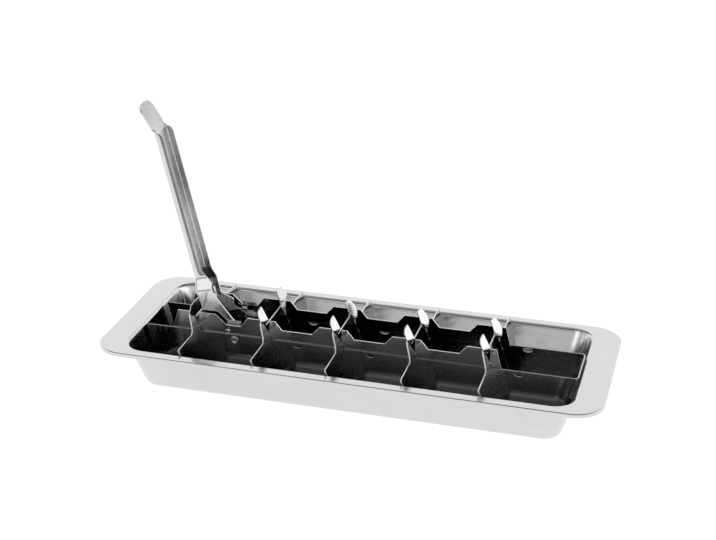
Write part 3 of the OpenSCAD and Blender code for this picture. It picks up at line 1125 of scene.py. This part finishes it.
@dataclass(frozen=True)
class Finger:
    """A finger's leaf, turned out of its plate over two folds that meet in one corner.

    Its places are distances from the grid's middle and heights in the flat plate.

    Attributes:
        leaf: The leaf's outline, from its outer to its inner root.
        apex: The corner where the folds meet.
        low: The lower fold's other end; below that fold the plate stays flat.
        high: The upper fold's other end; above that fold lies the leaf.
        neighbour_top: The height up to which the plate beside the folds stays flat.
        turn: The leaf's turn about the upright line through the apex, in degrees.
        lean_back: The leaf's lean out of the upright, in degrees.
        clear: How far beyond the folds' end the plate beside them starts.
    """

    leaf: tuple[Pair, ...]
    apex: Pair
    low: Pair
    high: Pair
    neighbour_top: float
    turn: float
    lean_back: float = 0.0
    clear: float = 0.1

    def folds(self, side: int) -> list[tuple[Pair, Pair]]:
        """Returns both fold lines in the plate's Y and Z, for one side of the grid."""
        start = (side * self.apex[0], self.apex[1])
        return [(start, (side * end[0], end[1])) for end in (self.low, self.high)]

    def rise(self, end: Pair, out: float, z: float) -> float:
        """Returns how far a place lies above the fold that runs from the apex.

        Args:
            end: The fold's other end.
            out: The place's distance from the grid's middle.
            z: The place's height.

        Returns:
            The distance, below 0 under the fold.
        """
        along = Vector(end) - Vector(self.apex)
        square = Vector((-along.y, along.x)).normalized() * math.copysign(1, along.x)
        return square.dot(Vector((out, z)) - Vector(self.apex))

    def turned_out(self, point: Vector, side: int, rise: float) -> Vector:
        """Turns one point of the leaf about the upright line through the apex.

        Args:
            point: The point, X across the sheet.
            side: 1 for the far half, -1 for the near one.
            rise: How far it lies above the upper fold.

        Returns:
            The turned point.
        """
        axis = Vector((0, side * self.apex[0], 0))
        moved = axis + turned(-self.turn, "Z") @ (point - axis)
        moved.x += rise * math.tan(math.radians(self.lean_back))
        return moved

    def bent(self, point: Vector) -> Vector:
        """Bends one point of the flat plate.

        Args:
            point: The point, X across the sheet.

        Returns:
            Its place in the leaf, in the corner between the folds or unchanged.
        """
        side = 1 if point.y > 0 else -1
        out, z = abs(point.y), point.z
        outward = math.copysign(1, self.low[0] - self.apex[0])
        beyond = outward * (out - self.low[0]) > self.clear and z < self.neighbour_top
        if beyond or self.rise(self.low, out, z) <= 0:
            return point
        rise = self.rise(self.high, out, z)
        if rise >= 0:
            return self.turned_out(point, side, rise)
        (x1, z1), (x2, z2) = (Vector(e) - Vector(self.apex) for e in (self.low, self.high))
        dx, dz = out - self.apex[0], z - self.apex[1]
        size = x1 * z2 - x2 * z1
        share_low, share_high = (dx * z2 - x2 * dz) / size, (x1 * dz - dx * z1) / size
        base = Vector((0, side * self.apex[0], self.apex[1]))
        low = Vector((0, side * self.low[0], self.low[1])) - base
        high = self.turned_out(Vector((0, side * self.high[0], self.high[1])), side, 0.0) - base
        normal = low.cross(high).normalized()
        skin = normal * math.copysign(point.x, normal.x * point.x)
        return base + share_low * low + share_high * high + skin


NEAR_FINGER = Finger(
    leaf=(
        (20.6, 41.2),
        (20.5, 44.6),
        (19.8, 46.4),
        (18.8, 47.6),
        (16.9, 48.9),
        (16.4, 48.9),
        (16.1, 46.0),
        (15.9, 42.2),
        (15.8, 40.4),
        (15.6, 38.6),
        (15.4, 36.9),
        (15.1, 36.9),
    ),
    apex=(20.6, 41.2),
    low=(15.4, 36.9),
    high=(15.8, 40.4),
    neighbour_top=37.4,
    turn=44.0,
    lean_back=-6.0,
)
FIRST_NEAR_FINGER = replace(NEAR_FINGER, turn=62.0, lean_back=28.0)
FAR_FINGER = Finger(
    leaf=(
        (14.3, 33.0),
        (14.2, 32.6),
        (13.8, 32.6),
        (13.8, 34.2),
        (15.3, 37.4),
        (15.3, 40.0),
        (15.0, 42.0),
        (13.4, 45.6),
        (13.0, 45.9),
        (10.5, 45.0),
        (10.0, 44.3),
        (9.9, 41.0),
        (9.9, 38.2),
    ),
    apex=(9.9, 38.2),
    low=(13.8, 32.6),
    high=(13.8, 34.2),
    neighbour_top=33.4,
    turn=46.0,
    lean_back=-4.0,
)
FORK_SIDE_FINGER = Finger(
    leaf=(
        (16.7, 38.4),
        (16.6, 38.0),
        (16.2, 38.0),
        (16.3, 38.8),
        (18.3, 41.0),
        (18.2, 43.2),
        (16.4, 46.6),
        (16.0, 46.9),
        (13.5, 46.0),
        (13.0, 45.2),
        (12.85, 43.0),
        (12.85, 39.4),
    ),
    apex=(12.85, 39.4),
    low=(16.2, 38.0),
    high=(16.3, 38.8),
    neighbour_top=38.6,
    turn=48.0,
)


@dataclass
class CrossPlate:
    """A cross plate with wings, saddles over the walls and two twisted fingers."""

    pan: Pan
    grid: DividerGrid
    slides: SlidePlates
    lean: float
    wing_top: float = 30.5
    middle_top: float = 36.8
    neck_reach: float = 22.4
    neck_slant: float = 1.4
    neck_bend: float = 4.0
    neck_corner: Pair = (1.2, 1.9)
    neck_drop: float = 0.5
    wing_corner: float = 1.2
    wing_gap: float = 1.2
    bottom: float = 1.4
    floor_cut: float = 6.0
    ear_short: float = 0.05
    saddle_step: float = 25.0
    middle_ease: float = 0.4
    leaf_width: float = 8.0
    edge: float = 0.15
    near: Finger = NEAR_FINGER
    far: Finger = FAR_FINGER

    def hinge_edge(self) -> list[Pair]:
        """Returns the edge of one half round both faces of its wall.

        Returns:
            Distances from the middle and heights, from the bottom inside the wall with
            its hinge ear, over the saddle and down to the bottom outside.
        """
        grid = self.grid
        hinge_z, half_ear = grid.hinges[0].z, grid.ear_height / 2
        low, high = hinge_z - half_ear, hinge_z + half_ear
        reach = grid.sheet / 2 - self.ear_short + grid.sheet_play
        inside, outside = grid.wall_in - grid.sheet_play, grid.wall_out + grid.sheet_play
        slot_in = self.slides.inner - grid.sheet_play
        return [
            (inside, self.bottom),
            (inside, low),
            (inside + reach, low),
            (inside + reach, high),
            (inside, high),
            (inside, self.saddle_step),
            (slot_in, self.saddle_step),
            (slot_in, self.slides.saddle_top),
            (outside, self.slides.saddle_top),
            (outside, high),
            (outside - reach, high),
            (outside - reach, low),
            (outside, low),
            (outside, self.bottom),
        ]

    def half_outline(self, finger: Finger) -> list[Pair]:
        """Returns the outline of one half.

        Args:
            finger: The half's finger.

        Returns:
            Distances from the middle and heights, from the bottom to the top middle.
        """
        pan = self.pan
        wing_end = pan.draft(self.wing_top - self.wing_corner) - self.wing_gap
        corner = (wing_end - self.wing_corner, self.wing_top - self.wing_corner)
        bend = (self.neck_reach + self.neck_slant + self.neck_bend, self.wing_top + self.neck_bend)
        neck_top = finger.leaf[0][1] - self.neck_drop
        inner = finger.leaf[-1][0]
        points = self.hinge_edge()
        points.append((pan.side_half(self.bottom) - self.wing_gap - pan.sheet, self.bottom))
        points.append((pan.side_half(self.floor_cut) - self.wing_gap, self.floor_cut))
        points += arc(corner, self.wing_corner, 0, 90)
        points += arc(bend, self.neck_bend, 270, 190)
        points.append((self.neck_reach, neck_top - self.neck_corner[1]))
        points.append((self.neck_reach - self.neck_corner[0], neck_top))
        points += finger.leaf
        points.append((inner, self.middle_top + self.middle_ease))
        points.append((inner - self.middle_ease, self.middle_top))
        return points

    def twisted(self, point: Vector) -> Vector:
        """Bends a point of the near or the far finger."""
        return (self.far if point.y > 0 else self.near).bent(point)

    def in_leaf(self, point: Vector) -> bool:
        """Tells whether a point of the flat plate belongs to a finger's leaf.

        Args:
            point: The point, X across the sheet.

        Returns:
            Whether it lies above the upper fold.
        """
        finger = self.far if point.y > 0 else self.near
        out, z = abs(point.y), point.z
        beside = z > finger.neighbour_top and out > finger.apex[0] - self.leaf_width
        return beside and finger.rise(finger.high, out, z) > 0

    def build(self, index: int, finishes: Finishes) -> bpy.types.Object:
        """Builds one cross plate over its CAD node.

        Args:
            index: The plate's number, from 0 beside the lever.
            finishes: The tray's finishes.

        Returns:
            The new piece.
        """
        outline = self.half_outline(self.far)
        outline += [(-y, z) for y, z in reversed(self.half_outline(self.near))]
        form = Form()
        folds = self.far.folds(1) + self.near.folds(-1)
        # the leaves take the third material, a painted highlight
        form.cut_sheet([outline], self.grid.sheet, ACROSS, self.edge, self.twisted, folds, self.in_leaf)
        hinge = self.grid.hinges[index]
        lift = Matrix.Translation((0, 0, -hinge.z))
        form.moved(Matrix.Translation(hinge) @ turned(-self.lean, "Y") @ lift)
        number = index + 1
        made = form.piece(
            f"cross_plate_with_fingers_{number}", f"cross_plate_{number}", "divider_steel", finishes.cross
        )
        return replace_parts(made, f"cross_plate_{number}")


class LeverPart(Enum):
    """The first of the two finishes that the skins of a part of the lever take."""

    # the near flange's painted dark reflection
    PAINTED_REFLECTION = 2
    # the legs, whose skin behind takes the painted light of the feet
    LEG = 4


@dataclass
class Lever:
    """The channel lever: fork cheeks, flare, channel and bent thumb tab, from one sheet.

    Its own U runs from the pivot along the lever and V square to it, towards the web.
    """

    pivot: Vector
    raised: float
    sheet: float = 1.0
    reach: float = 122.0
    width: float = 17.0
    fork_width: float = 24.8
    offset: float = 13.0
    depth: float = 4.4
    bend: float = 1.8
    edge: float = 0.15
    seam: float = 0.02
    # the thumb tab
    tab_length: float = 17.62
    tab_bend: float = 18.0
    tab_corner: float = 5.5
    tab_narrow: float = 0.4
    tab_tip: float = 0.02
    tab_ease: float = 3.0
    tab_flat: float = 3.5
    tab_step: float = 1.5
    tab_rows: int = 7
    tab_turns: Sequence[int] = range(0, 91, 10)
    fold_r: float = 5.0
    fold_step: float = 0.4
    fold_rows: int = 7
    # the flare between fork and channel, and the ends of the web and the flanges
    flare_bottom: float = 30.0
    flare_top: float = 37.0
    flare_ease: float = 1.0
    flare_rows: int = 20
    web_start: float = 24.0
    web_columns: int = 8
    flange_end: float = 3.5
    flange_step: float = 0.5
    flange_rows: int = 8
    bend_turns: Sequence[int] = range(0, 91, 15)
    channel_start: float = 46.0
    channel_step: float = 8.0
    channel_rows: int = 8
    # the cheeks
    columns: int = 6
    # columns from the near flange's free edge that take the painted dark reflection
    painted_reflection_columns: int = 3
    leg: Pair = (7.8, 18.2)
    foot_r: float = 6.5
    foot_turns: Sequence[int] = range(0, 66, 8)
    near_toe: float = 2.2
    dish_depth: float = 1.0
    dish_flat: float = 2.6
    dish_past: float = 0.6
    foot_rows: tuple[float, ...] = (
        *(-1.5, 0.0, 1.2, 2.2, 3.4, 4.6, 5.5, 6.1, 6.5, 7.1),
        *(7.6, 7.9, 8.2, 8.8, 9.5, 10.2, 11.0, 11.7, 13.0, 14.0),
        *(14.8, 15.4, 16.1, 17.0, 17.7, 18.4, 19.0, 19.6, 20.6, 22.0),
    )
    back_edge: tuple[Pair, ...] = ((-2.7, 5.9), (6.0, 10.2), (16.0, 15.8))
    near_front: tuple[Pair, ...] = (
        (2.2, -6.1),
        (11.7, -0.5),
        (25.7, 5.9),
        (29.5, 7.3),
        (31.6, 7.2),
        (33.8, 6.9),
        (35.5, 8.4),
        (37.3, 10.2),
        (39.0, 12.2),
        (41.0, 13.0),
    )
    far_front: tuple[Pair, ...] = (
        (6.5, 0.0),
        (7.6, 1.5),
        (8.2, 4.0),
        (9.5, 6.2),
        (11.0, 6.6),
        (14.8, 6.6),
        (16.1, 8.4),
        (18.4, 11.6),
        (19.6, 13.0),
        (41.0, 13.0),
    )

    @property
    def top(self) -> float:
        """Height of the web's outer face over the pivot."""
        return self.offset + self.depth

    def half_width(self, u: float) -> float:
        """Returns half the lever's outer width.

        Args:
            u: The place along the lever.

        Returns:
            Half the fork's width, half the channel's or what the flare has between them.
        """
        slim, ease = self.width / 2, self.flare_ease
        flare = 1 - blend(self.flare_bottom - ease, self.flare_top + ease, u)
        return slim + (self.fork_width / 2 - slim) * flare

    def front(self, u: float, side: int) -> float:
        """Returns the free edge of a cheek and its flange.

        Args:
            u: The place along the lever.
            side: 1 for the far cheek, -1 for the near one.

        Returns:
            The edge's V.
        """
        start = self.reach - self.flange_end
        if u > start:
            share = min(1.0, (u - start) / self.flange_end)
            return self.offset + (self.depth - self.bend) * (1 - math.sqrt(1 - share**2))
        return self._along(self.far_front if side > 0 else self.near_front, u)

    def back(self, u: float) -> float:
        """Returns V of the cheeks' back edge."""
        return self._along((*self.back_edge, (self.web_start, self.top - self.bend)), u)

    @staticmethod
    def _along(points: Sequence[Pair], u: float) -> float:
        """Reads a polyline at one place.

        Args:
            points: The polyline, in U and V.
            u: The place.

        Returns:
            V there, or at the nearer end.
        """
        if u <= points[0][0]:
            return points[0][1]
        for (u0, v0), (u1, v1) in zip(points, points[1:]):
            if u <= u1:
                return v0 + (v1 - v0) * (u - u0) / (u1 - u0)
        return points[-1][1]

    def placed(self, u: float, y: float, v: float) -> Vector:
        """Places a point of the lever, and bends what lies past the fold upwards.

        Args:
            u: Its place along the lever.
            y: Its place across the tray.
            v: Its height over the pivot, square to the lever.

        Returns:
            The point in the tray's frame.
        """
        start = self.reach - self.fold_r * math.tan(math.radians(self.tab_bend / 2))
        angle = min(math.radians(self.tab_bend), max(0.0, (u - start) / self.fold_r))
        if u > start:
            centre = self.top + self.fold_r
            rest = max(0.0, u - start - self.fold_r * math.radians(self.tab_bend))
            rise = centre - v
            u = start + rise * math.sin(angle) + rest * math.cos(angle)
            v = centre - rise * math.cos(angle) + rest * math.sin(angle)
        phi = math.radians(self.raised)
        x = self.pivot.x + u * math.cos(phi) - v * math.sin(phi)
        z = self.pivot.z + u * math.sin(phi) + v * math.cos(phi)
        return Vector((x, y, z))

    def foot_stations(self) -> list[float]:
        """Returns the places along U where the cheeks' rows stand below the web."""
        heel = [-self.foot_r * math.cos(math.radians(a)) for a in self.foot_turns]
        return [*heel, *self.foot_rows, self.web_start]

    def channel_stations(self) -> list[float]:
        """Returns the places along U where the channel's rows stand.

        Returns:
            The places, close together in the flare and at the flanges' ends.
        """
        flare = [self.web_start + i for i in range(1, self.flare_rows + 1)]
        straight = [self.channel_start + self.channel_step * i for i in range(self.channel_rows)]
        start = self.reach - self.flange_end
        ends = [start + self.flange_step * i for i in range(self.flange_rows)]
        return [u for u in flare + straight + ends if u <= self.reach]

    def tab_stations(self) -> list[float]:
        """Returns the places along U where the thumb tab's rows stand.

        Returns:
            The places, close together in the fold and round the tab's end.
        """
        start = self.reach + self.tab_length - self.tab_corner
        fold = [self.reach + self.fold_step * i for i in range(1, self.fold_rows + 1)]
        flat = [self.reach + self.tab_flat + self.tab_step * i for i in range(self.tab_rows)]
        tip = [start + self.tab_corner * math.sin(math.radians(a)) for a in self.tab_turns]
        return sorted({round(u, 4) for u in fold + flat + tip})

    def cheek_span(self, u: float, side: int) -> Pair:
        """Returns how far a cheek reaches at one place.

        Args:
            u: The place along the lever.
            side: 1 for the far cheek, -1 for the near one.

        Returns:
            V of its free edge and of its back edge.
        """
        toe = self.foot_r if side > 0 else self.near_toe
        heel = self.back_edge[0][0]
        low = -math.sqrt(max(0.0, self.foot_r**2 - u**2)) if u < toe else self.front(u, side)
        high = math.sqrt(self.foot_r**2 - u**2) if u < heel else self.back(u)
        return low, high

    def dish(self, u: float, v: float) -> float:
        """Returns how far a cheek is pressed inwards round the pivot."""
        away = math.hypot(u, v)
        return self.dish_depth * (1 - blend(self.dish_flat, self.foot_r + self.dish_past, away))

    def add_cheek(self, form: Form, side: int) -> None:
        """Adds one cheek with its flange, and gives its parts their finishes.

        Args:
            form: The form that it goes into.
            side: 1 for the far cheek, -1 for the near one.
        """
        places = self.foot_stations() + self.channel_stations()
        rows = []
        for u in places:
            low, high = self.cheek_span(u, side)
            heights = [low + (high - low) * k / self.columns for k in range(self.columns + 1)]
            half = self.half_width(u)
            rows.append([self.placed(u, side * (half - self.dish(u, v)), v) for v in heights])
        known = len(form.mesh.faces)
        form.loft(rows, closed=False, capped=False)
        form.mesh.faces.ensure_lookup_table()
        for index, face in enumerate(form.mesh.faces[known:]):
            u = places[index // self.columns]
            # painted dark reflection on the near flange's free edge
            if side < 0 and index % self.columns < self.painted_reflection_columns and u > self.flare_top:
                face.material_index = LeverPart.PAINTED_REFLECTION.value
            # in the legs the skin behind takes the feet's painted light
            if self.leg[0] < u < self.leg[1]:
                face.material_index = LeverPart.LEG.value

    def web_row(self, u: float, half: float, ease: float) -> list[Vector]:
        """Returns one row of the web, with its bends into the flanges.

        Args:
            u: The row's place along the lever.
            half: Half its width.
            ease: How far its bends are flattened, from 0 to 1.

        Returns:
            The row's points, from the near to the far side.
        """
        c, count = self.bend, self.web_columns
        turns = [math.radians(a) for a in self.bend_turns]
        bend = [(-half + c - c * math.cos(a), (c * math.sin(a) - c) * (1 - ease)) for a in turns]
        flat = [(-half + c + 2 * (half - c) * k / count, 0.0) for k in range(1, count)]
        section = bend + flat + [(-y, v) for y, v in reversed(bend)]
        return [self.placed(u, y, self.top + v) for y, v in section]

    def tab_half(self, u: float) -> float:
        """Returns half the thumb tab's width, which ends in two round corners.

        Args:
            u: The place along the lever.

        Returns:
            Half the width there.
        """
        half = self.width / 2 - self.tab_narrow
        over = u - (self.reach + self.tab_length - self.tab_corner)
        if over <= 0:
            return half
        return half - self.tab_corner + math.sqrt(max(self.tab_tip, self.tab_corner**2 - over**2))

    def build(self, finishes: Finishes) -> bpy.types.Object:
        """Builds the lever over its CAD node.

        Args:
            finishes: The tray's finishes.

        Returns:
            The new piece.
        """
        form = Form()
        for side in (-1, 1):
            self.add_cheek(form, side)
        channel = [self.web_start, *self.channel_stations()]
        rows = [self.web_row(u, self.half_width(u), 0.0) for u in channel]
        for u in self.tab_stations():
            ease = blend(self.reach, self.reach + self.tab_ease, u)
            rows.append(self.web_row(u, self.tab_half(u), ease))
        form.loft(rows, closed=False, capped=False)
        bmesh.ops.remove_doubles(form.mesh, verts=form.mesh.verts, dist=self.seam)
        bmesh.ops.dissolve_degenerate(form.mesh, edges=form.mesh.edges, dist=Form.WELD)
        made = form.piece("channel_lever", "lever", "lever_steel", finishes.lever)
        thickened(made, self.sheet, -1.0, self.edge)
        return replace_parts(made, "lever")


@dataclass
class PivotRivets:
    """The two tubular rivets that the lever turns on, with rolled heads.

    Each pair in `dimple` is a radius and how deep it lies in the inner end; each pair in
    `hollow` is a radius and how high it lies over the divider wall.
    """

    pivot: Vector
    wall_out: float
    inner_end: float
    shank_d: float = 3.0
    head_d: float = 4.8
    head: float = 0.6
    corner: float = 0.25
    roll_r: float = 0.27
    roll_rise: float = 0.3
    roll_steps: int = 5
    dimple: tuple[Pair, ...] = ((0.05, 0.15), (0.5, 0.1), (0.8, 0.0))
    hollow: tuple[Pair, ...] = ((1.25, 0.54), (0.9, 0.27), (0.8, -0.3), (0.05, -0.4))

    def profile(self) -> list[Pair]:
        """Returns the radius and the height of each ring.

        Returns:
            The rings, from the inner end over the shank to the rolled head.
        """
        head, shank = self.head_d / 2, self.shank_d / 2
        low, high = self.inner_end, self.wall_out
        roll = arc((head - self.roll_r, high + self.roll_rise), self.roll_r, 0, 90, self.roll_steps)
        points = [(r, low + depth) for r, depth in self.dimple]
        points += [(head - self.corner, low), (head, low + self.corner), (head, low + self.head)]
        points += [(shank, low + self.head), (shank, high), (head, high)]
        return points + roll + [(r, high + rise) for r, rise in self.hollow]

    def build(self, finishes: Finishes) -> list[bpy.types.Object]:
        """Builds both rivets over their CAD nodes.

        Args:
            finishes: The tray's finishes.

        Returns:
            The far and the near rivet.
        """
        made = []
        for name, turn in (("far", -90.0), ("near", 90.0)):
            form = Form()
            place = Matrix.Translation((self.pivot.x, 0, self.pivot.z)) @ turned(turn, "X")
            form.lathe(self.profile(), place)
            piece = form.piece(f"{name}_rolled_rivet", "grid", "fastener_steel", finishes.fastener)
            made.append(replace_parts(piece, f"{name}_pivot_rivet"))
        return made


# ---------------------------------------------------------------- the studio


@dataclass(frozen=True)
class Lamp:
    """A soft area lamp that looks at the tray."""

    name: str
    place: Triple
    size: float
    power: float

    def build(self, aim: Vector) -> None:
        """Makes the lamp.

        Args:
            aim: The point that it looks at, in metres.
        """
        light = bpy.data.lights.new(self.name, "AREA")
        light.energy = self.power
        light.size = self.size
        lamp = bpy.data.objects.new(self.name, light)
        lamp.location = self.place
        lamp.rotation_euler = (aim - lamp.location).to_track_quat("-Z", "Y").to_euler()
        bpy.context.scene.collection.objects.link(lamp)


@dataclass
class Studio:
    """Camera, floor, lamps and the white room around them.

    The camera's distance and target and its lens are millimetres; the far clip, the
    floor's size and the lamps' places are metres.

    Each range of the room is where, in the direction looked at, a change of tone starts
    and where it ends.
    """

    yaw: float = 14.59
    pitch: float = 22.99
    roll: float = 0.88
    target: Triple = (-43.6, 155.7, 0.0)
    distance: float = 1017.0
    lens: float = 77.13
    sensor: float = 36.0
    far_clip: float = 100.0
    floor_size: float = 12.0
    floor_tone: float = 0.9
    floor_light: float = 1.25
    floor_glow: float = 0.8
    room_tone: float = 1.1
    front_range: Pair = (-0.75, 0.1)
    front_dim: float = 0.55
    low_range: Pair = (0.1, 0.5)
    right_range: Pair = (0.3, 0.9)
    right_glow: float = 0.6
    top_range: Pair = (0.45, 0.8)
    top_dim: float = 0.9
    softbox: Triple = (-0.46, -0.75, 0.47)
    softbox_range: Pair = (0.955, 0.985)
    softbox_glow: float = 0.84
    lamp_aim: Triple = (0.0, 0.0, 0.02)
    lamps: tuple[Lamp, ...] = field(
        default_factory=lambda: (
            Lamp("overhead_softbox", (-0.25, 0.3, 1.7), 1.4, 2.0),
        )
    )

    def camera(self) -> None:
        """Makes the camera at the photograph's angle."""
        yaw, pitch, roll = (math.radians(a) for a in (self.yaw, self.pitch, self.roll))
        level = math.cos(pitch)
        back = Vector((math.sin(yaw) * level, -math.cos(yaw) * level, math.sin(pitch)))
        right = Vector((math.cos(yaw), math.sin(yaw), 0))
        up = back.cross(right)
        right_r = right * math.cos(roll) + up * math.sin(roll)
        up_r = up * math.cos(roll) - right * math.sin(roll)
        data = bpy.data.cameras.new("photo_camera")
        data.lens = self.lens
        data.sensor_width = self.sensor
        data.sensor_fit = "HORIZONTAL"
        data.clip_end = self.far_clip
        camera = bpy.data.objects.new("photo_camera", data)
        place = (Vector(self.target) + back * self.distance) * MM
        turn = Matrix((right_r, up_r, back)).transposed().to_4x4()
        camera.matrix_world = Matrix.Translation(place) @ turn
        bpy.context.scene.collection.objects.link(camera)
        bpy.context.scene.camera = camera

    def floor(self) -> None:
        """Makes the pale floor, which keeps the tray's shadow."""
        half = self.floor_size / 2
        mesh = bpy.data.meshes.new("studio_floor")
        corners = [(-half, -half, 0), (half, -half, 0), (half, half, 0), (-half, half, 0)]
        mesh.from_pydata(corners, [], [(0, 1, 2, 3)])
        material = bpy.data.materials.new("pale_floor")
        material.use_nodes = True
        graph = Graph(material.node_tree)
        path = graph.node("ShaderNodeLightPath", {}, {})
        seen = (graph.value(path, "Is Camera Ray") + graph.value(path, "Is Glossy Ray")).clamped()
        tone = (self.floor_tone, self.floor_tone, self.floor_tone, 1)
        matt = graph.node("ShaderNodeBsdfDiffuse", {}, {"Color": tone})
        glow = graph.node("ShaderNodeEmission", {}, {"Color": WHITE, "Strength": self.floor_light})
        both = graph.node(
            "ShaderNodeMixShader", {}, {0: seen * self.floor_glow, 1: matt.outputs[0], 2: glow.outputs[0]}
        )
        graph.node("ShaderNodeOutputMaterial", {}, {"Surface": both.outputs[0]})
        mesh.materials.append(material)
        floor = bpy.data.objects.new("studio_floor", mesh)
        bpy.context.scene.collection.objects.link(floor)

    def world(self) -> None:
        """Makes a white room that is darker towards its front."""
        world = bpy.data.worlds.new("studio_room")
        world.use_nodes = True
        bpy.context.scene.world = world
        graph = Graph(world.node_tree)
        towards = graph.node("ShaderNodeTexCoord", {}, {}).outputs["Generated"]
        parts = graph.node("ShaderNodeSeparateXYZ", {}, {"Vector": towards})
        depth, height = graph.value(parts, "Y"), graph.value(parts, "Z")
        front = graph.number_ramp(depth, *self.front_range, (1.0, 0.0))
        low = graph.number_ramp(height, *self.low_range, (1.0, 0.0))
        right = graph.number_ramp(graph.value(parts, "X"), *self.right_range, (0.0, 1.0))
        top = graph.number_ramp(height, *self.top_range, (0.0, 1.0))
        aim = Vector(self.softbox).normalized()
        facing = graph.node("ShaderNodeVectorMath", {"operation": "DOT_PRODUCT"}, {0: towards, 1: aim})
        box = graph.number_ramp(
            graph.value(facing, "Value"), *self.softbox_range, (0.0, self.softbox_glow)
        )
        side = self.room_tone + right * low * self.right_glow
        tone = side * (1.0 - front * self.front_dim) * (1.0 - top * self.top_dim) + box
        shade = graph.node("ShaderNodeCombineXYZ", {}, {0: tone, 1: tone, 2: tone})
        path = graph.node("ShaderNodeLightPath", {}, {})
        seen = graph.mixed(graph.value(path, "Is Camera Ray"), shade.outputs[0], WHITE)
        room = graph.node("ShaderNodeBackground", {}, {"Color": seen, "Strength": 1.0})
        graph.node("ShaderNodeOutputWorld", {}, {"Surface": room.outputs[0]})

    def build(self) -> None:
        """Makes the whole studio."""
        self.camera()
        self.floor()
        self.world()
        for lamp in self.lamps:
            lamp.build(Vector(self.lamp_aim))
        bpy.context.scene.view_settings.view_transform = "Standard"
        LOG.info("studio with %d lamps", len(self.lamps))


def joint_place(frame: dict, name: str) -> Vector:
    """Returns a hinge's place from the frame, in millimetres."""
    joint = next(j for j in frame["joints"] if j["name"] == name)
    return Vector(joint["pos_m"]) / MM


def joint_end(frame: dict, name: str) -> float:
    """Returns the upper end of a joint's range, in degrees or in millimetres."""
    joint = next(j for j in frame["joints"] if j["name"] == name)
    return joint["range_deg"][1] if "range_deg" in joint else joint["range_m"][1] / MM


def main() -> None:
    """Builds every piece in order."""
    logging.basicConfig(level=logging.INFO, format="%(name)s: %(message)s")
    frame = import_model()
    Studio().build()
    finishes = Finishes()
    low, high = (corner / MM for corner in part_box("pan"))
    pan = Pan(high.x - low.x, high.y - low.y, high.z)
    pan.build(finishes)
    hinges = [joint_place(frame, f"cross_plate_{n}_rock") for n in range(1, CROSS_PLATES + 1)]
    pivot = joint_place(frame, "lever_swing")
    grid = DividerGrid(pan, hinges, pivot)
    grid.build(finishes)
    pin_low, pin_high = (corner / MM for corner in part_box("far_drive_pin"))
    drive = (pin_low + pin_high) / 2
    slides = SlidePlates(grid, joint_end(frame, "slide_plates_travel"), PLATE_LEAN, drive)
    slides.build(finishes)
    plates = CrossPlate(pan, grid, slides, PLATE_LEAN)
    for index in range(CROSS_PLATES):
        near = FIRST_NEAR_FINGER if index == 0 else NEAR_FINGER
        far = FORK_SIDE_FINGER if index < FORK_PLATES else FAR_FINGER
        replace(plates, near=near, far=far).build(index, finishes)
    Lever(pivot, LEVER_RAISED).build(finishes)
    rivet_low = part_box("far_pivot_rivet")[0].y / MM
    PivotRivets(pivot, grid.wall_out, rivet_low).build(finishes)
    for name, node in frame["nodes"].items():
        if any(word in name for word in CAD_SHAPED):
            node.data.materials.clear()
            node.data.materials.append(finishes.fastener[0])
            LOG.info("%s keeps its CAD shape", name)


if __name__ == "__main__":
    main()
